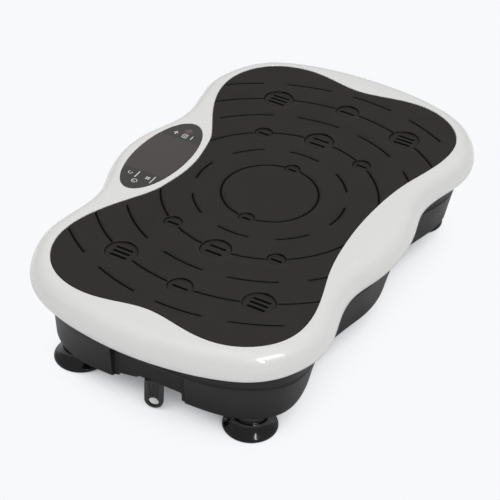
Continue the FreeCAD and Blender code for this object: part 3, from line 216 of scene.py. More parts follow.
def fill(outer, holes=(), points=()):
    """Delaunay vertices and triangles inside outer, clear of the holes, through the points."""
    verts = [Vector((float(x), float(y))) for x, y in points]
    edges = []
    for loop in (outer, *holes):
        base = len(verts)
        verts += [Vector((float(x), float(y))) for x, y in loop]
        count = len(loop)
        edges += [(base + i, base + (i + 1) % count) for i in range(count)]
    result = geometry.delaunay_2d_cdt(verts, edges, [], 0, 1e-4)
    flat = np.array([(v[0], v[1]) for v in result[0]])
    triangles = [tuple(face) for face in result[2]]
    centres = np.array([flat[list(t)].mean(0) for t in triangles])
    keep = inside(centres, outer)
    for hole in holes:
        keep &= ~inside(centres, hole)
    return flat, [t for t, kept in zip(triangles, keep) if kept]


def drop_unused(flat, triangles):
    used = sorted(set(i for t in triangles for i in t))
    index = {old: new for new, old in enumerate(used)}
    return flat[used], [tuple(index[i] for i in t) for t in triangles]


# ------------------------------------------------------------------ mesh building
WELD = 0.004


def shade_smooth(mesh):
    for polygon in mesh.polygons:
        polygon.use_smooth = True


class Builder:
    """Collects rings and patches in mm and welds them into one closed mesh."""

    def __init__(self):
        self.verts = []
        self.faces = []

    def add(self, points):
        base = len(self.verts)
        self.verts += [tuple(p) for p in points]
        return list(range(base, base + len(points)))

    def bridge(self, a, b):
        count = len(a)
        for i in range(count):
            j = (i + 1) % count
            self.faces.append((a[i], a[j], b[j], b[i]))

    def rings(self, levels):
        """Bridges a stack of (plane points, z) levels; z is a number or one per point."""
        ids = [self.add(np.c_[points, np.broadcast_to(z, len(points))]) for points, z in levels]
        for a, b in zip(ids, ids[1:]):
            self.bridge(a, b)
        return ids

    def fan(self, ring, tip):
        """Closes a ring with triangles to one point."""
        tip = self.add([tip])[0]
        for i in range(len(ring)):
            self.faces.append((ring[i], ring[(i + 1) % len(ring)], tip))

    def patch(self, flat, triangles, z):
        base = len(self.verts)
        self.add(np.c_[flat, np.broadcast_to(z, len(flat))])
        self.faces += [tuple(base + i for i in t) for t in triangles]

    def build(self, name):
        mesh = bpy.data.meshes.new(name)
        points = [tuple(v) for v in np.array(self.verts) * MM]
        mesh.from_pydata(points, [], self.faces, shade_flat=False)
        mesh.update()
        ob = bpy.data.objects.new(name, mesh)
        scene.collection.objects.link(ob)
        bm = bmesh.new()
        bm.from_mesh(mesh)
        bmesh.ops.remove_doubles(bm, verts=bm.verts, dist=WELD * MM)
        bmesh.ops.dissolve_degenerate(bm, dist=1e-7, edges=bm.edges)
        bmesh.ops.recalc_face_normals(bm, faces=bm.faces)
        bm.to_mesh(mesh)
        bm.free()
        shade_smooth(mesh)
        return ob


def prism(start, end):
    """Closed solid between two matching rings of 3D points."""
    solid = Builder()
    a, b = solid.add(start), solid.add(end)
    solid.bridge(a, b)
    solid.faces += [tuple(a), tuple(b[::-1])]
    return solid


def upright(plan, z0, z1):
    return prism(np.c_[plan, np.full(len(plan), z0)], np.c_[plan, np.full(len(plan), z1)])


def post(x, y, z0, z1, radius, count=40):
    return upright(circle(x, y, radius, count), z0, z1)


def block(x0, x1, y0, y1, z0, z1):
    return upright(np.array([(x0, y0), (x1, y0), (x1, y1), (x0, y1)]), z0, z1)


def boolean(ob, parts, operation):
    merged = Builder()
    for part in parts:
        base = len(merged.verts)
        merged.verts += part.verts
        merged.faces += [tuple(base + i for i in face) for face in part.faces]
    cutter = merged.build("cutter")
    modifier = ob.modifiers.new("b", "BOOLEAN")
    modifier.object = cutter
    modifier.operation = operation
    modifier.solver = "EXACT"
    depsgraph = bpy.context.evaluated_depsgraph_get()
    mesh = bpy.data.meshes.new_from_object(ob.evaluated_get(depsgraph))
    ob.modifiers.clear()
    old = ob.data
    ob.data = mesh
    mesh.name = ob.name
    bpy.data.meshes.remove(old)
    cutter_mesh = cutter.data
    bpy.data.objects.remove(cutter)
    bpy.data.meshes.remove(cutter_mesh)


def lathe(name, profile, x, y, segments):
    """Turns (radius, z) stations round the vertical through x, y."""
    solid = Builder()
    rings = []
    for radius, z in profile:
        if radius < 1e-4:
            rings.append(solid.add([(x, y, z)]))
        else:
            plan = circle(x, y, radius, segments)
            rings.append(solid.add(np.c_[plan, np.full(segments, z)]))
    for a, b in zip(rings, rings[1:]):
        for i in range(segments):
            j = (i + 1) % segments
            if len(a) == 1:
                solid.faces.append((a[0], b[j], b[i]))
            elif len(b) == 1:
                solid.faces.append((a[i], a[j], b[0]))
            else:
                solid.faces.append((a[i], a[j], b[j], b[i]))
    return solid.build(name)


def sharpen(ob, degrees):
    """Marks edges that bend by more than this angle as sharp."""
    bm = bmesh.new()
    bm.from_mesh(ob.data)
    limit = math.radians(degrees)
    for edge in bm.edges:
        if len(edge.link_faces) == 2:
            edge.smooth = edge.calc_face_angle(0.0) < limit
    bm.to_mesh(ob.data)
    bm.free()


# ------------------------------------------------------------------ node helpers
def add_node(tree, kind, inputs=None, **settings):
    """Adds a node; each input is given a socket to link from, or a value."""
    new = tree.nodes.new(kind)
    for key, value in settings.items():
        setattr(new, key, value)
    for key, value in (inputs or {}).items():
        if isinstance(value, bpy.types.NodeSocket):
            tree.links.new(value, new.inputs[key])
        else:
            new.inputs[key].default_value = value
    return new


def noise(tree, coords, scale, detail):
    inputs = {"Scale": scale, "Detail": detail, "Vector": coords}
    return add_node(tree, "ShaderNodeTexNoise", inputs).outputs["Fac"]


def blend(tree, factor, a, b):
    inputs = {"A": a, "B": b, "Factor": factor}
    return add_node(tree, "ShaderNodeMix", inputs, data_type="RGBA").outputs["Result"]


def multiply(tree, a, b):
    inputs = {0: a, 1: b}
    multiplier = add_node(tree, "ShaderNodeMath", inputs, operation="MULTIPLY", use_clamp=True)
    return multiplier.outputs[0]


def map_range(tree, value, from_min=0.0, from_max=1.0, to_min=0.0, to_max=1.0, **settings):
    inputs = {"From Min": from_min, "From Max": from_max,
              "To Min": to_min, "To Max": to_max, "Value": value}
    return add_node(tree, "ShaderNodeMapRange", inputs, **settings).outputs["Result"]


def bump_normal(tree, coords, scale, strength, distance, detail, below=None):
    """Noise bump, laid over the normal below when one is given."""
    inputs = {"Strength": strength, "Distance": distance,
              "Height": noise(tree, coords, scale, detail)}
    if below is not None:
        inputs["Normal"] = below
    return add_node(tree, "ShaderNodeBump", inputs).outputs["Normal"]


# ------------------------------------------------------------------ materials
MAT = {}


def surface(name, colour, rough=0.4, rough_vary=0.08, rough_scale=60.0, metallic=0.0, spec=0.5,
            coat=0.0, coat_rough=0.05, vary=0.06, vary_scale=14.0,
            bump=0.1, bump_scale=900.0, bump_dist=0.0001, bump_stretch=None, second_bump=None,
            wear=None, wear_amount=0.35, dust=0.0):
    """Principled material with mottled colour and roughness, dust on top and worn edges."""
    material = bpy.data.materials.new(name)
    material.use_nodes = True
    tree = material.node_tree
    tree.nodes.clear()
    output = add_node(tree, "ShaderNodeOutputMaterial")
    shader = add_node(tree, "ShaderNodeBsdfPrincipled")
    tree.links.new(shader.outputs[0], output.inputs[0])
    coords = add_node(tree, "ShaderNodeTexCoord").outputs["Object"]
    base = np.array(colour)
    tint = blend(tree, noise(tree, coords, scale=vary_scale, detail=4.0),
                 (*np.clip(base * (1 - vary), 0, 1), 1), (*np.clip(base * (1 + vary), 0, 1), 1))
    if dust > 0:
        normal = add_node(tree, "ShaderNodeNewGeometry").outputs["Normal"]
        upward = add_node(tree, "ShaderNodeSeparateXYZ", {0: normal}).outputs["Z"]
        patches = multiply(tree, upward, noise(tree, coords, scale=35.0, detail=6.0))
        tint = blend(tree, multiply(tree, patches, dust), tint, (0.45, 0.43, 0.40, 1))
    if wear is not None:
        pointiness = add_node(tree, "ShaderNodeNewGeometry").outputs["Pointiness"]
        edges = map_range(tree, pointiness, from_min=0.52, from_max=0.60)
        worn = multiply(tree, edges, noise(tree, coords, scale=120.0, detail=5.0))
        tint = blend(tree, multiply(tree, worn, wear_amount), tint, (*wear, 1))
    roughness = map_range(tree, noise(tree, coords, scale=rough_scale, detail=5.0),
                          from_min=0.25, from_max=0.75,
                          to_min=max(0.02, rough - rough_vary),
                          to_max=min(1.0, rough + rough_vary))
    bump_coords = coords
    if bump_stretch is not None:
        inputs = {"Scale": bump_stretch, "Vector": coords}
        bump_coords = add_node(tree, "ShaderNodeMapping", inputs).outputs[0]
    normal = bump_normal(tree, bump_coords, bump_scale, bump, bump_dist, detail=3.0)
    if second_bump is not None:
        normal = bump_normal(tree, coords, **second_bump, detail=2.0, below=normal)
    for socket, source in (("Base Color", tint), ("Roughness", roughness), ("Normal", normal)):
        tree.links.new(source, shader.inputs[socket])
    shader.inputs["Metallic"].default_value = metallic
    shader.inputs["Specular IOR Level"].default_value = spec
    shader.inputs["Coat Weight"].default_value = coat
    shader.inputs["Coat Roughness"].default_value = coat_rough
    material["bsdf"] = shader.name
    MAT[name] = material
    return material


surface("white_gloss", (0.735, 0.735, 0.728), rough=0.42, rough_vary=0.05,
        coat=0.65, coat_rough=0.035, vary=0.012, vary_scale=5.0,
        bump=0.06, bump_scale=160.0, bump_dist=0.00005,
        second_bump=dict(scale=2200.0, strength=0.02, distance=0.00002),
        wear=(0.62, 0.61, 0.58), wear_amount=0.12, dust=0.02)
surface("black_mat", (0.0205, 0.0194, 0.0186), rough=0.60, rough_vary=0.07, rough_scale=25.0,
        vary=0.10, vary_scale=9.0, bump=0.35, bump_scale=1500.0, bump_dist=0.00012,
        second_bump=dict(scale=420.0, strength=0.15, distance=0.0001),
        wear=(0.07, 0.07, 0.068), wear_amount=0.25, spec=0.24, dust=0.006)
surface("black_shell", (0.0122, 0.0120, 0.0118), rough=0.38, rough_vary=0.05, rough_scale=40.0,
        vary=0.08, vary_scale=10.0, bump=0.18, bump_scale=1900.0, bump_dist=0.00006,
        wear=(0.09, 0.09, 0.09), spec=0.32, dust=0.006)
surface("cup_rubber", (0.0065, 0.0065, 0.007), rough=0.15, rough_vary=0.04, rough_scale=90.0,
        vary=0.15, vary_scale=40.0, bump=0.12, bump_scale=500.0, coat=0.35, coat_rough=0.06,
        wear=(0.04, 0.04, 0.04), wear_amount=0.2, spec=0.30)
surface("black_nylon", (0.022, 0.022, 0.022), rough_vary=0.07, vary=0.10, vary_scale=60.0,
        bump=0.2, bump_scale=1600.0, wear=(0.12, 0.12, 0.12), wear_amount=0.4)
surface("black_rubber", (0.020, 0.020, 0.020), rough=0.72, rough_vary=0.06, vary=0.12,
        bump=0.3, bump_scale=1200.0, wear=(0.06, 0.06, 0.06))
surface("zinc_steel", (0.60, 0.60, 0.58), rough=0.32, rough_vary=0.10, metallic=1.0,
        vary=0.08, vary_scale=40.0, bump=0.12, bump_scale=700.0, wear=(0.78, 0.77, 0.74))
surface("bright_steel", (0.66, 0.66, 0.67), rough=0.20, rough_vary=0.06, metallic=1.0,
        vary=0.04, bump=0.15, bump_stretch=(1.0, 0.06, 1.0), wear=(0.8, 0.8, 0.8))
surface("spring_steel", (0.62, 0.62, 0.60), rough=0.28, metallic=1.0, vary=0.05,
        wear=(0.8, 0.8, 0.8))
surface("painted_steel", (0.035, 0.035, 0.036), rough=0.48, vary=0.08,
        bump=0.35, bump_scale=650.0, bump_dist=0.0002,
        wear=(0.35, 0.34, 0.33), wear_amount=0.6)
surface("cast_alloy", (0.50, 0.50, 0.50), rough=0.52, rough_vary=0.10, metallic=1.0, vary=0.10,
        bump=0.5, bump_scale=380.0, bump_dist=0.0003, wear=(0.7, 0.7, 0.7))
surface("bronze", (0.55, 0.36, 0.17), rough=0.35, rough_vary=0.10, metallic=1.0, vary=0.10,
        bump=0.15, wear=(0.75, 0.55, 0.3))
surface("brass_post", (0.72, 0.54, 0.25), rough=0.25, metallic=1.0, wear=(0.85, 0.7, 0.4))
surface("aluminium_can", (0.68, 0.68, 0.70), rough=0.28, metallic=1.0, vary=0.05,
        bump=0.12, wear=(0.8, 0.8, 0.8))
surface("pcb", (0.015, 0.13, 0.045), rough=0.35, vary=0.15, vary_scale=90.0, coat=0.3,
        bump=0.2, bump_scale=260.0, wear=(0.5, 0.4, 0.15))
surface("display_black", (0.02, 0.02, 0.02), rough=0.3, vary=0.1, wear=(0.08, 0.08, 0.08))
surface("rocker_red", (0.35, 0.012, 0.012), rough=0.25, coat=0.3, bump=0.08,
        wear=(0.5, 0.1, 0.1))
surface("cable_black", (0.018, 0.018, 0.018), rough=0.45, vary=0.1, bump=0.2, bump_scale=800.0,
        wear=(0.05, 0.05, 0.05))
surface("icon_white", (0.62, 0.62, 0.62), rough=0.45, vary_scale=400.0,
        bump_scale=3000.0, bump_dist=0.00002)


def colour_source(material):
    """The principled shader of a surface and the socket that feeds its base colour."""
    shader = material.node_tree.nodes[material["bsdf"]]
    return shader, shader.inputs["Base Color"].links[0].from_socket


def panel_material():
    """Smoked gloss: plum display field in the middle, a faint receiver spot near the +x end."""
    material = surface("smoked_panel", (0.026, 0.025, 0.025), rough=0.10, rough_vary=0.03,
                       rough_scale=30.0, vary=0.05, vary_scale=20.0, bump=0.03, bump_scale=60.0,
                       bump_dist=0.00004, coat=0.6, coat_rough=0.03, spec=0.55)
    tree = material.node_tree
    shader, own = colour_source(material)
    coords = add_node(tree, "ShaderNodeTexCoord").outputs["Object"]
    across = add_node(tree, "ShaderNodeSeparateXYZ", {0: coords}).outputs["X"]
    across = add_node(tree, "ShaderNodeMath", {0: across}, operation="ABSOLUTE").outputs[0]
    field = map_range(tree, across, from_min=0.0365, from_max=0.0345,
                      interpolation_type="SMOOTHSTEP")
    tint = blend(tree, field, own, (0.046, 0.037, 0.036, 1))
    spot_centre = (0.0535, 0.114656, 0.1214)
    distance = add_node(tree, "ShaderNodeVectorMath", operation="DISTANCE",
                        inputs={0: coords, 1: spot_centre}).outputs["Value"]
    spot = map_range(tree, distance, from_min=0.0055, from_max=0.0025,
                     interpolation_type="SMOOTHSTEP")
    tint = blend(tree, spot, tint, (0.115, 0.062, 0.066, 1))
    tree.links.new(tint, shader.inputs["Base Color"])


def shade_by(material, factor, at_zero=None, at_one=None):
    """Runs colour and specular between two (colour, specular) pairs; None is the own look."""
    tree = material.node_tree
    shader, source = colour_source(material)
    own = (source, shader.inputs["Specular IOR Level"].default_value)
    (colour_0, spec_0), (colour_1, spec_1) = at_zero or own, at_one or own
    tint = blend(tree, factor, colour_0, colour_1)
    specular = map_range(tree, factor, to_min=spec_0, to_max=spec_1)
    tree.links.new(tint, shader.inputs["Base Color"])
    tree.links.new(specular, shader.inputs["Specular IOR Level"])


def paint_mat_shade(material):
    """Painted shade: grooves, slots and dish walls run to near black, following the mat's shade
    mask.
    """
    painted_shade = add_node(material.node_tree, "ShaderNodeAttribute", attribute_name="painted_shade")
    # painted shade colour: near black with little specular, standing in for shade in the hollows
    shade_by(material, painted_shade.outputs["Fac"], at_one=((0.0022, 0.0022, 0.0021, 1), 0.04))


def shade_hollows(material, distance):
    """Paints shade into hollows, darkening the colour towards near black where little light
    reaches.
    """
    tree = material.node_tree
    occlusion = add_node(tree, "ShaderNodeAmbientOcclusion", {"Distance": distance}, samples=8)
    openness = map_range(tree, occlusion.outputs["AO"], from_min=0.25, from_max=0.95)
    # painted shade colour where ambient occlusion closes in
    shade_by(material, openness, at_zero=((0.0030, 0.0029, 0.0028, 1), 0.12))


panel_material()
paint_mat_shade(MAT["black_mat"])
shade_hollows(MAT["black_shell"], distance=0.05)


def paint(ob, name):
    ob.data.materials.clear()
    ob.data.materials.append(MAT[name])


def finish_piece(ob, material, group, replaces):
    paint(ob, material)
    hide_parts(replaces)
    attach(ob, group)


# ------------------------------------------------------------------ places taken from the CAD
mat_low, mat_high = cad("foot_mat")
cover_low, cover_high = cad("top_cover")
tub_low, _ = cad("base_shell")
panel_low, panel_high = cad("console_panel")
CUPS = [cad("suction_cup_%d" % i) for i in range(1, 5)]
FEET = [(low[:2] + high[:2]) / 2 for low, high in CUPS]
MID_Y = sum((low[1] + high[1]) / 2 for low, high in CUPS) / 4.0      # middle of the feet
pins_low, pins_high = cad("hook_pins")
PIN_X = abs(pins_high[0] - 5.0)
PIN_Y = (pins_low[1] + pins_high[1]) / 2
motor_low, motor_high = cad("motor_can")
MOTOR_X = (motor_low[0] + motor_high[0]) / 2
MAT_TOP, MAT_BOTTOM = mat_high[2], mat_low[2]
RIM_TOP = cover_high[2]
PANEL_TOP, PANEL_BOTTOM = panel_high[2], panel_low[2]
PANEL_X, PANEL_Y = ((panel_low + panel_high) / 2)[:2]
PANEL_A = (panel_high[0] - panel_low[0]) / 2       # half axes of the oval console
PANEL_B = (panel_high[1] - panel_low[1]) / 2
PANEL_POINTS = 240
OUTLINE_POINTS = 640
MAT_OUTLINE = fit_box(resample(MAT_HALF, OUTLINE_POINTS), mat_low[:2], mat_high[:2])
MAT_NORMALS = inward_normals(MAT_OUTLINE)
BULGE = 2.6        # how far the cover swells beyond its rim outline
RIM = fit_box(resample(RIM_HALF, OUTLINE_POINTS), cover_low[:2] + BULGE, cover_high[:2] - BULGE)
RIM_NORMALS = inward_normals(RIM)


def panel_oval(margin=0.0, scale=1.0, count=PANEL_POINTS):
    t = np.linspace(0, 2 * math.pi, count, endpoint=False)
    return np.c_[PANEL_X + (PANEL_A * scale + margin) * np.cos(t),
                 PANEL_Y + (PANEL_B * scale + margin) * np.sin(t)]


def outside_panel(points, margin):
    return (((points[:, 0] - PANEL_X) / (PANEL_A + margin)) ** 2
            + ((points[:, 1] - PANEL_Y) / (PANEL_B + margin)) ** 2) > 1


def around_mat(gap):
    return MAT_OUTLINE - MAT_NORMALS * gap


# ------------------------------------------------------------------ white cover
ROLL = 0.6          # radius of the rolled pocket edges
MAT_GAP = 0.45      # clearance round the mat
PANEL_GAP = 0.3     # clearance round the console
PANEL_LEDGE = 8.0   # width of the seat under the console's edge
DECK_BOTTOM = MAT_BOTTOM - 3.0
SHOULDER = 24.0     # full inset of the rounded shoulder
# columns: z, inset from the rim outline
COVER_OUTSIDE = [
    (94.0, 0.9), (94.25, 0.3), (95.0, -0.15), (98.5, -1.9), (103.0, -BULGE), (107.5, -1.6),
    (111.5, 0.9), (115.0, 4.6), (117.6, 8.9), (119.4, 13.6), (120.6, 18.6), (121.2, SHOULDER)]
COVER_INSIDE = [
    (94.0, 2.2), (94.3, 2.8), (95.5, 2.4), (98.5, 1.2), (103.0, 0.6), (107.5, 1.8),
    (110.5, 3.9), (113.0, 7.6), (115.0, 12.5)]


def shoulder_width():
    """Shoulder width round the rim, narrowed where the mat or console comes close."""
    width = nearest(RIM, np.vstack([around_mat(4.0), panel_oval(4, count=300)]))
    width = np.clip(width, 6, 26)
    width = np.min([np.roll(width, i) for i in range(-27, 28)], axis=0)
    return smooth_closed(width, 53)


SQUEEZE = shoulder_width() / SHOULDER


def outside_loop(inset):
    scale = SQUEEZE if inset > 0 else np.ones(OUTLINE_POINTS)
    return RIM + RIM_NORMALS * (inset * scale)[:, None]


def inside_loop(inset):
    scale = SQUEEZE ** 0.5 if inset > 3 else np.ones(OUTLINE_POINTS)
    return RIM + RIM_NORMALS * (inset * scale)[:, None]


def cover_top():
    """The slightly crowned top face between shoulder, mat pocket and console pocket."""
    top_loop = outside_loop(SHOULDER)
    pocket_edge = around_mat(MAT_GAP + ROLL)
    edges = np.vstack([top_loop, pocket_edge])
    grid = hexgrid(cover_low[:2], cover_high[:2], 5.0)
    grid = grid[inside(grid, top_loop)]
    grid = grid[~inside(grid, pocket_edge)]
    grid = grid[outside_panel(grid, 4)]
    points = [grid[nearest(grid, edges) > 3.2]]
    for loop, away, offsets in ((top_loop, inward_normals(top_loop), (1.0, 2.2)),
                                (pocket_edge, -MAT_NORMALS, (0.8, 2.0))):
        for offset in offsets:
            ring = loop + away * offset
            clear = inside(ring, top_loop) & ~inside(ring, pocket_edge)
            clear &= outside_panel(ring, 1.8) & (nearest(ring, edges) > offset * 0.8)
            points.append(ring[clear])
    for offset in (0.9, 2.4):
        ring = panel_oval(PANEL_GAP + ROLL + offset)
        points.append(ring[nearest(ring, edges) > 0.8])
    panel_edge = panel_oval(PANEL_GAP + ROLL)
    flat, triangles = drop_unused(*fill(top_loop, [pocket_edge, panel_edge], np.vstack(points)))
    distance = nearest(flat, np.vstack([edges, panel_edge]))
    crown = 0.35 * (1 - np.exp(-(np.maximum(distance - 1.0, 0) / 9.0) ** 2))
    return flat, triangles, RIM_TOP + crown


def build_cover():
    shell = Builder()
    shell.rings([(outside_loop(inset), min(z, RIM_TOP))
                 for z, inset in catmull(COVER_OUTSIDE, 3)])
    shell.patch(*cover_top())
    # rolled edges down into the mat pocket and the console pocket
    roll = [(ROLL * (1 - math.sin(a)), ROLL * (1 - math.cos(a)))
            for a in np.linspace(0, math.pi / 2, 6)]
    pocket = around_mat(MAT_GAP)
    shell.rings([(around_mat(MAT_GAP + out), RIM_TOP - down) for out, down in roll]
                + [(pocket, MAT_BOTTOM + 0.3), (pocket, MAT_BOTTOM)])
    shell.patch(*fill(pocket), MAT_BOTTOM)
    opening = panel_oval(-PANEL_LEDGE)
    shell.rings([(panel_oval(PANEL_GAP + out), RIM_TOP - down) for out, down in roll]
                + [(panel_oval(PANEL_GAP), PANEL_BOTTOM), (opening, PANEL_BOTTOM),
                   (opening, DECK_BOTTOM)])
    z, inset = COVER_OUTSIDE[0]
    inner = [(outside_loop(inset), z)] + [(inside_loop(d), z) for z, d in COVER_INSIDE]
    shell.rings(inner)
    shell.patch(*fill(inner[-1][0], [opening]), DECK_BOTTOM)
    cover = shell.build("cover_shell")
    sharpen(cover, 40)
    finish_piece(cover, "white_gloss", "platform", replaces="top_cover")


build_cover()

# ------------------------------------------------------------------ standing mat
RING_Y = MID_Y - 6.4         # common centre of the groove rings
RINGS = dict(A=50.0, B=79.0, C=111.5, D=147.0, E=180.0, F=211.5)
# groove arcs: radius, start and end angle in degrees
ARCS = [(RINGS[ring], a0, a1) for ring, a0, a1 in (
    ("A", 0, 360), ("C", 0, 360), ("E", 0, 360), ("B", 78, 102), ("B", 258, 282))]
# arcs on the +x side, each mirrored to the -x side
for ring, a0, a1 in (
        ("B", -12, 12), ("B", 33, 57), ("B", -57, -33),
        ("D", 27, 49.5), ("D", -1.8, 16), ("D", -31, -12.3), ("D", -52, -43.3),
        ("F", 30.3, 44), ("F", 9.4, 22.5), ("F", -10.5, 2.1), ("F", -31.5, -17.9)):
    ARCS += [(RINGS[ring], a0, a1), (RINGS[ring], 180 - a1, 180 - a0)]
GROOVE_HALF = 1.12
GROOVE_DEPTH = 0.9
DISH_DEPTH = 1.7             # depth of the round dishes
SLOT_RADIUS = 1.5
SLOT_DEPTH = DISH_DEPTH + 0.7
EDGE_RADIUS = 1.1            # rounding of the mat's upper edge

# Round dishes with slots sunk into them
Pod = namedtuple("Pod", "x y radius slot_xs slot_length")


def pod(x, y, radius, slots, pitch, slot_length):
    slot_xs = [x + (k - (slots - 1) / 2.0) * pitch for k in range(slots)]
    return Pod(x, y + RING_Y, radius, slot_xs, slot_length)


def place_pods():
    pods = []
    for sx in (-1, 1):
        pods.append(pod(sx * RINGS["A"], 0.0, 8.4, slots=1, pitch=0.0, slot_length=9.5))
        pods.append(pod(sx * RINGS["C"], 0.0, 16.0, slots=2, pitch=9.5, slot_length=18.5))
        pods.append(pod(sx * RINGS["E"], 0.0, 12.9, slots=1, pitch=0.0, slot_length=17.0))
        for sy in (-1, 1):
            for ring, degrees, radius, slots, pitch, slot_length in (
                    ("C", 31.5, 9.7, 1, 0.0, 12.5), ("E", 25.0, 16.5, 3, 6.4, 19.5)):
                a = math.radians(degrees)
                pods.append(pod(sx * RINGS[ring] * math.cos(a), sy * RINGS[ring] * math.sin(a),
                                radius, slots, pitch, slot_length))
    return pods


PODS = place_pods()


def groove_distance(points):
    """Distance to the nearest groove centre line."""
    x, y = points[:, 0], points[:, 1] - RING_Y
    rho = np.hypot(x, y)
    angle = np.degrees(np.arctan2(y, x))
    best = np.full(len(points), 1e9)
    for radius, a0, a1 in ARCS:
        distance = np.abs(rho - radius)
        if a1 - a0 < 360:
            middle, half = (a0 + a1) / 2, (a1 - a0) / 2
            off = np.abs((angle - middle + 180) % 360 - 180)
            to_end = np.full(len(points), 1e9)
            for a in (a0, a1):
                end_x = radius * math.cos(math.radians(a))
                end_y = radius * math.sin(math.radians(a))
                to_end = np.minimum(to_end, np.hypot(x - end_x, y - end_y))
            distance = np.where(off <= half, distance, to_end)
        best = np.minimum(best, distance)
    return best


def pod_distance(points, pod):
    return np.hypot(points[:, 0] - pod.x, points[:, 1] - pod.y)


def slot_distance(points, slot_x, pod):
    """Signed distance to the edge of one slot of a pod."""
    dx = np.abs(points[:, 0] - slot_x)
    dy = np.maximum(np.abs(points[:, 1] - pod.y) - (pod.slot_length / 2 - SLOT_RADIUS), 0)
    return np.hypot(dx, dy) - SLOT_RADIUS


def mat_height(points, edge):
    """Height below the mat's top, given each point's distance from the outline."""
    z = np.zeros(len(points))
    z -= GROOVE_DEPTH * smoothstep((GROOVE_HALF + 0.25 - groove_distance(points)) / 0.75)
    for pod in PODS:
        r = pod.radius
        rho = pod_distance(points, pod)
        near = rho < r + 0.3
        if not near.any():
            continue
        rho = rho[near]
        dish = -DISH_DEPTH * smoothstep((r + 0.18 - rho) / 0.62)
        dish = dish + 0.30 * smoothstep((r - 0.6 - rho) / r)
        height = np.where(rho <= r - 0.5, dish, np.minimum(z[near], dish))
        for slot_x in pod.slot_xs:
            t = smoothstep((0.15 - slot_distance(points[near], slot_x, pod)) / 0.45)
            height = height * (1 - t) - SLOT_DEPTH * t
        z[near] = height
    e = np.clip(edge, 0, EDGE_RADIUS)
    z -= EDGE_RADIUS - np.sqrt(np.maximum(EDGE_RADIUS ** 2 - (EDGE_RADIUS - e) ** 2, 0))
    return z


def mat_shade_mask(points):
    """Painted shade mask: 1 in grooves, slots and on the walls of the dishes, 0 on the open
    surface.
    """
    painted_shade = smoothstep((GROOVE_HALF + 0.15 - groove_distance(points)) / 0.45)
    for pod in PODS:
        rho = pod_distance(points, pod)
        near = rho < pod.radius + 0.3
        rho = rho[near]
        wall = smoothstep((rho - (pod.radius - 0.75)) / 0.3)
        wall = wall * smoothstep((pod.radius + 0.22 - rho) / 0.2)
        for slot_x in pod.slot_xs:
            from_slot = slot_distance(points[near], slot_x, pod)
            wall = np.maximum(wall, smoothstep((0.22 - from_slot) / 0.3))
        painted_shade[near] = wall
    return painted_shade


def outside_pods(points, margin):
    keep = np.ones(len(points), bool)
    for pod in PODS:
        keep &= pod_distance(points, pod) > pod.radius + margin
    return points[keep]


def groove_points():
    """Rows of points along the grooves, with fans round their open ends."""
    rows = []
    for radius, a0, a1 in ARCS:
        partial = a1 - a0 < 360
        for offset in (-1.15, -0.8, -0.45, 0.0, 0.45, 0.8, 1.15):
            count = max(4, int(math.radians(a1 - a0) * radius / 2.2))
            t = np.radians(np.linspace(a0, a1, count, endpoint=partial))
            rows.append(np.c_[(radius + offset) * np.cos(t),
                              (radius + offset) * np.sin(t) + RING_Y])
        if not partial:
            continue
        for angle, sign in ((a0, -1), (a1, 1)):
            c, s = math.cos(math.radians(angle)), math.sin(math.radians(angle))
            for reach in (0.45, 0.8, 1.15):
                for turn in np.linspace(-75, 75, 5):
                    along = reach * math.cos(math.radians(turn))
                    out = radius + reach * math.sin(math.radians(turn))
                    rows.append(np.array([[out * c - sign * along * s,
                                           out * s + sign * along * c + RING_Y]]))
    return outside_pods(np.vstack(rows), 0.45)


def pod_points():
    """Rings of points over each dish and loops round its slots."""
    rows = []
    for pod in PODS:
        radii = [pod.radius + offset
                 for offset in (0.26, 0.12, 0, -0.12, -0.25, -0.4, -0.55, -0.8, -1.4)]
        inner = pod.radius - 3.0
        while inner > 0.8:
            radii.append(inner)
            inner -= 1.6
        for rho in radii:
            ring = circle(pod.x, pod.y, rho, max(8, int(2 * math.pi * rho / 1.15)))
            for slot_x in pod.slot_xs:
                ring = ring[slot_distance(ring, slot_x, pod) > 0.45]
            rows.append(ring)
        for slot_x in pod.slot_xs:
            for offset in (0.22, 0.05, -0.12, -0.32, -0.8):
                radius = SLOT_RADIUS + offset
                straight = pod.slot_length / 2 + offset - radius
                rows.append(even_loop(capsule(slot_x, pod.y, radius, straight), 0.75))
    return np.vstack(rows)


def build_mat():
    outline = even_loop(MAT_OUTLINE, 1.6)
    normals = inward_normals(outline)
    grid = hexgrid(mat_low[:2], mat_high[:2], 4.6)
    grid = outside_pods(grid[groove_distance(grid) > 2.3], 1.8)
    points = np.vstack([groove_points(), pod_points(), grid])
    points = points[inside(points, outline)]
    points = points[nearest(points, outline) > 1.5]
    edge_loops = [outline + normals * inset for inset in (0.25, 0.6, 1.1, 2.0)]
    flat, triangles = drop_unused(*fill(outline, points=np.vstack([points] + edge_loops)))
    edge = nearest(flat, even_loop(MAT_OUTLINE, 0.4))
    edge = np.where(edge < 0.21, 0.0, edge)
    slab = Builder()
    slab.patch(flat, triangles, MAT_TOP + mat_height(flat, edge))
    base_z = MAT_BOTTOM + 0.02
    base = outline + normals * 0.3
    top_edge = MAT_TOP + mat_height(outline, np.zeros(len(outline)))
    slab.rings([(outline, top_edge), (outline, MAT_BOTTOM + 0.35), (base, base_z)])
    slab.patch(*fill(base), base_z)
    mat = slab.build("standing_mat")
    co = np.zeros(len(mat.data.vertices) * 3)
    mat.data.vertices.foreach_get("co", co)
    co = co.reshape(-1, 3) * 1000.0
    # painted shade: grooves, slots and dish walls are marked here to be darkened in the mat's
    # colour
    painted_shade = mat_shade_mask(co[:, :2]) * (co[:, 2] > MAT_BOTTOM + 0.5)
    attribute = mat.data.attributes.new("painted_shade", "FLOAT", "POINT")
    attribute.data.foreach_set("value", painted_shade.astype(np.float32))
    finish_piece(mat, "black_mat", "platform", replaces="foot_mat")


build_mat()

# ------------------------------------------------------------------ console panel
LENS_CROWN = 0.3    # rise of the lens from its edge to its middle
LENS_EDGE = 0.75    # depth of the edge rounding below the top


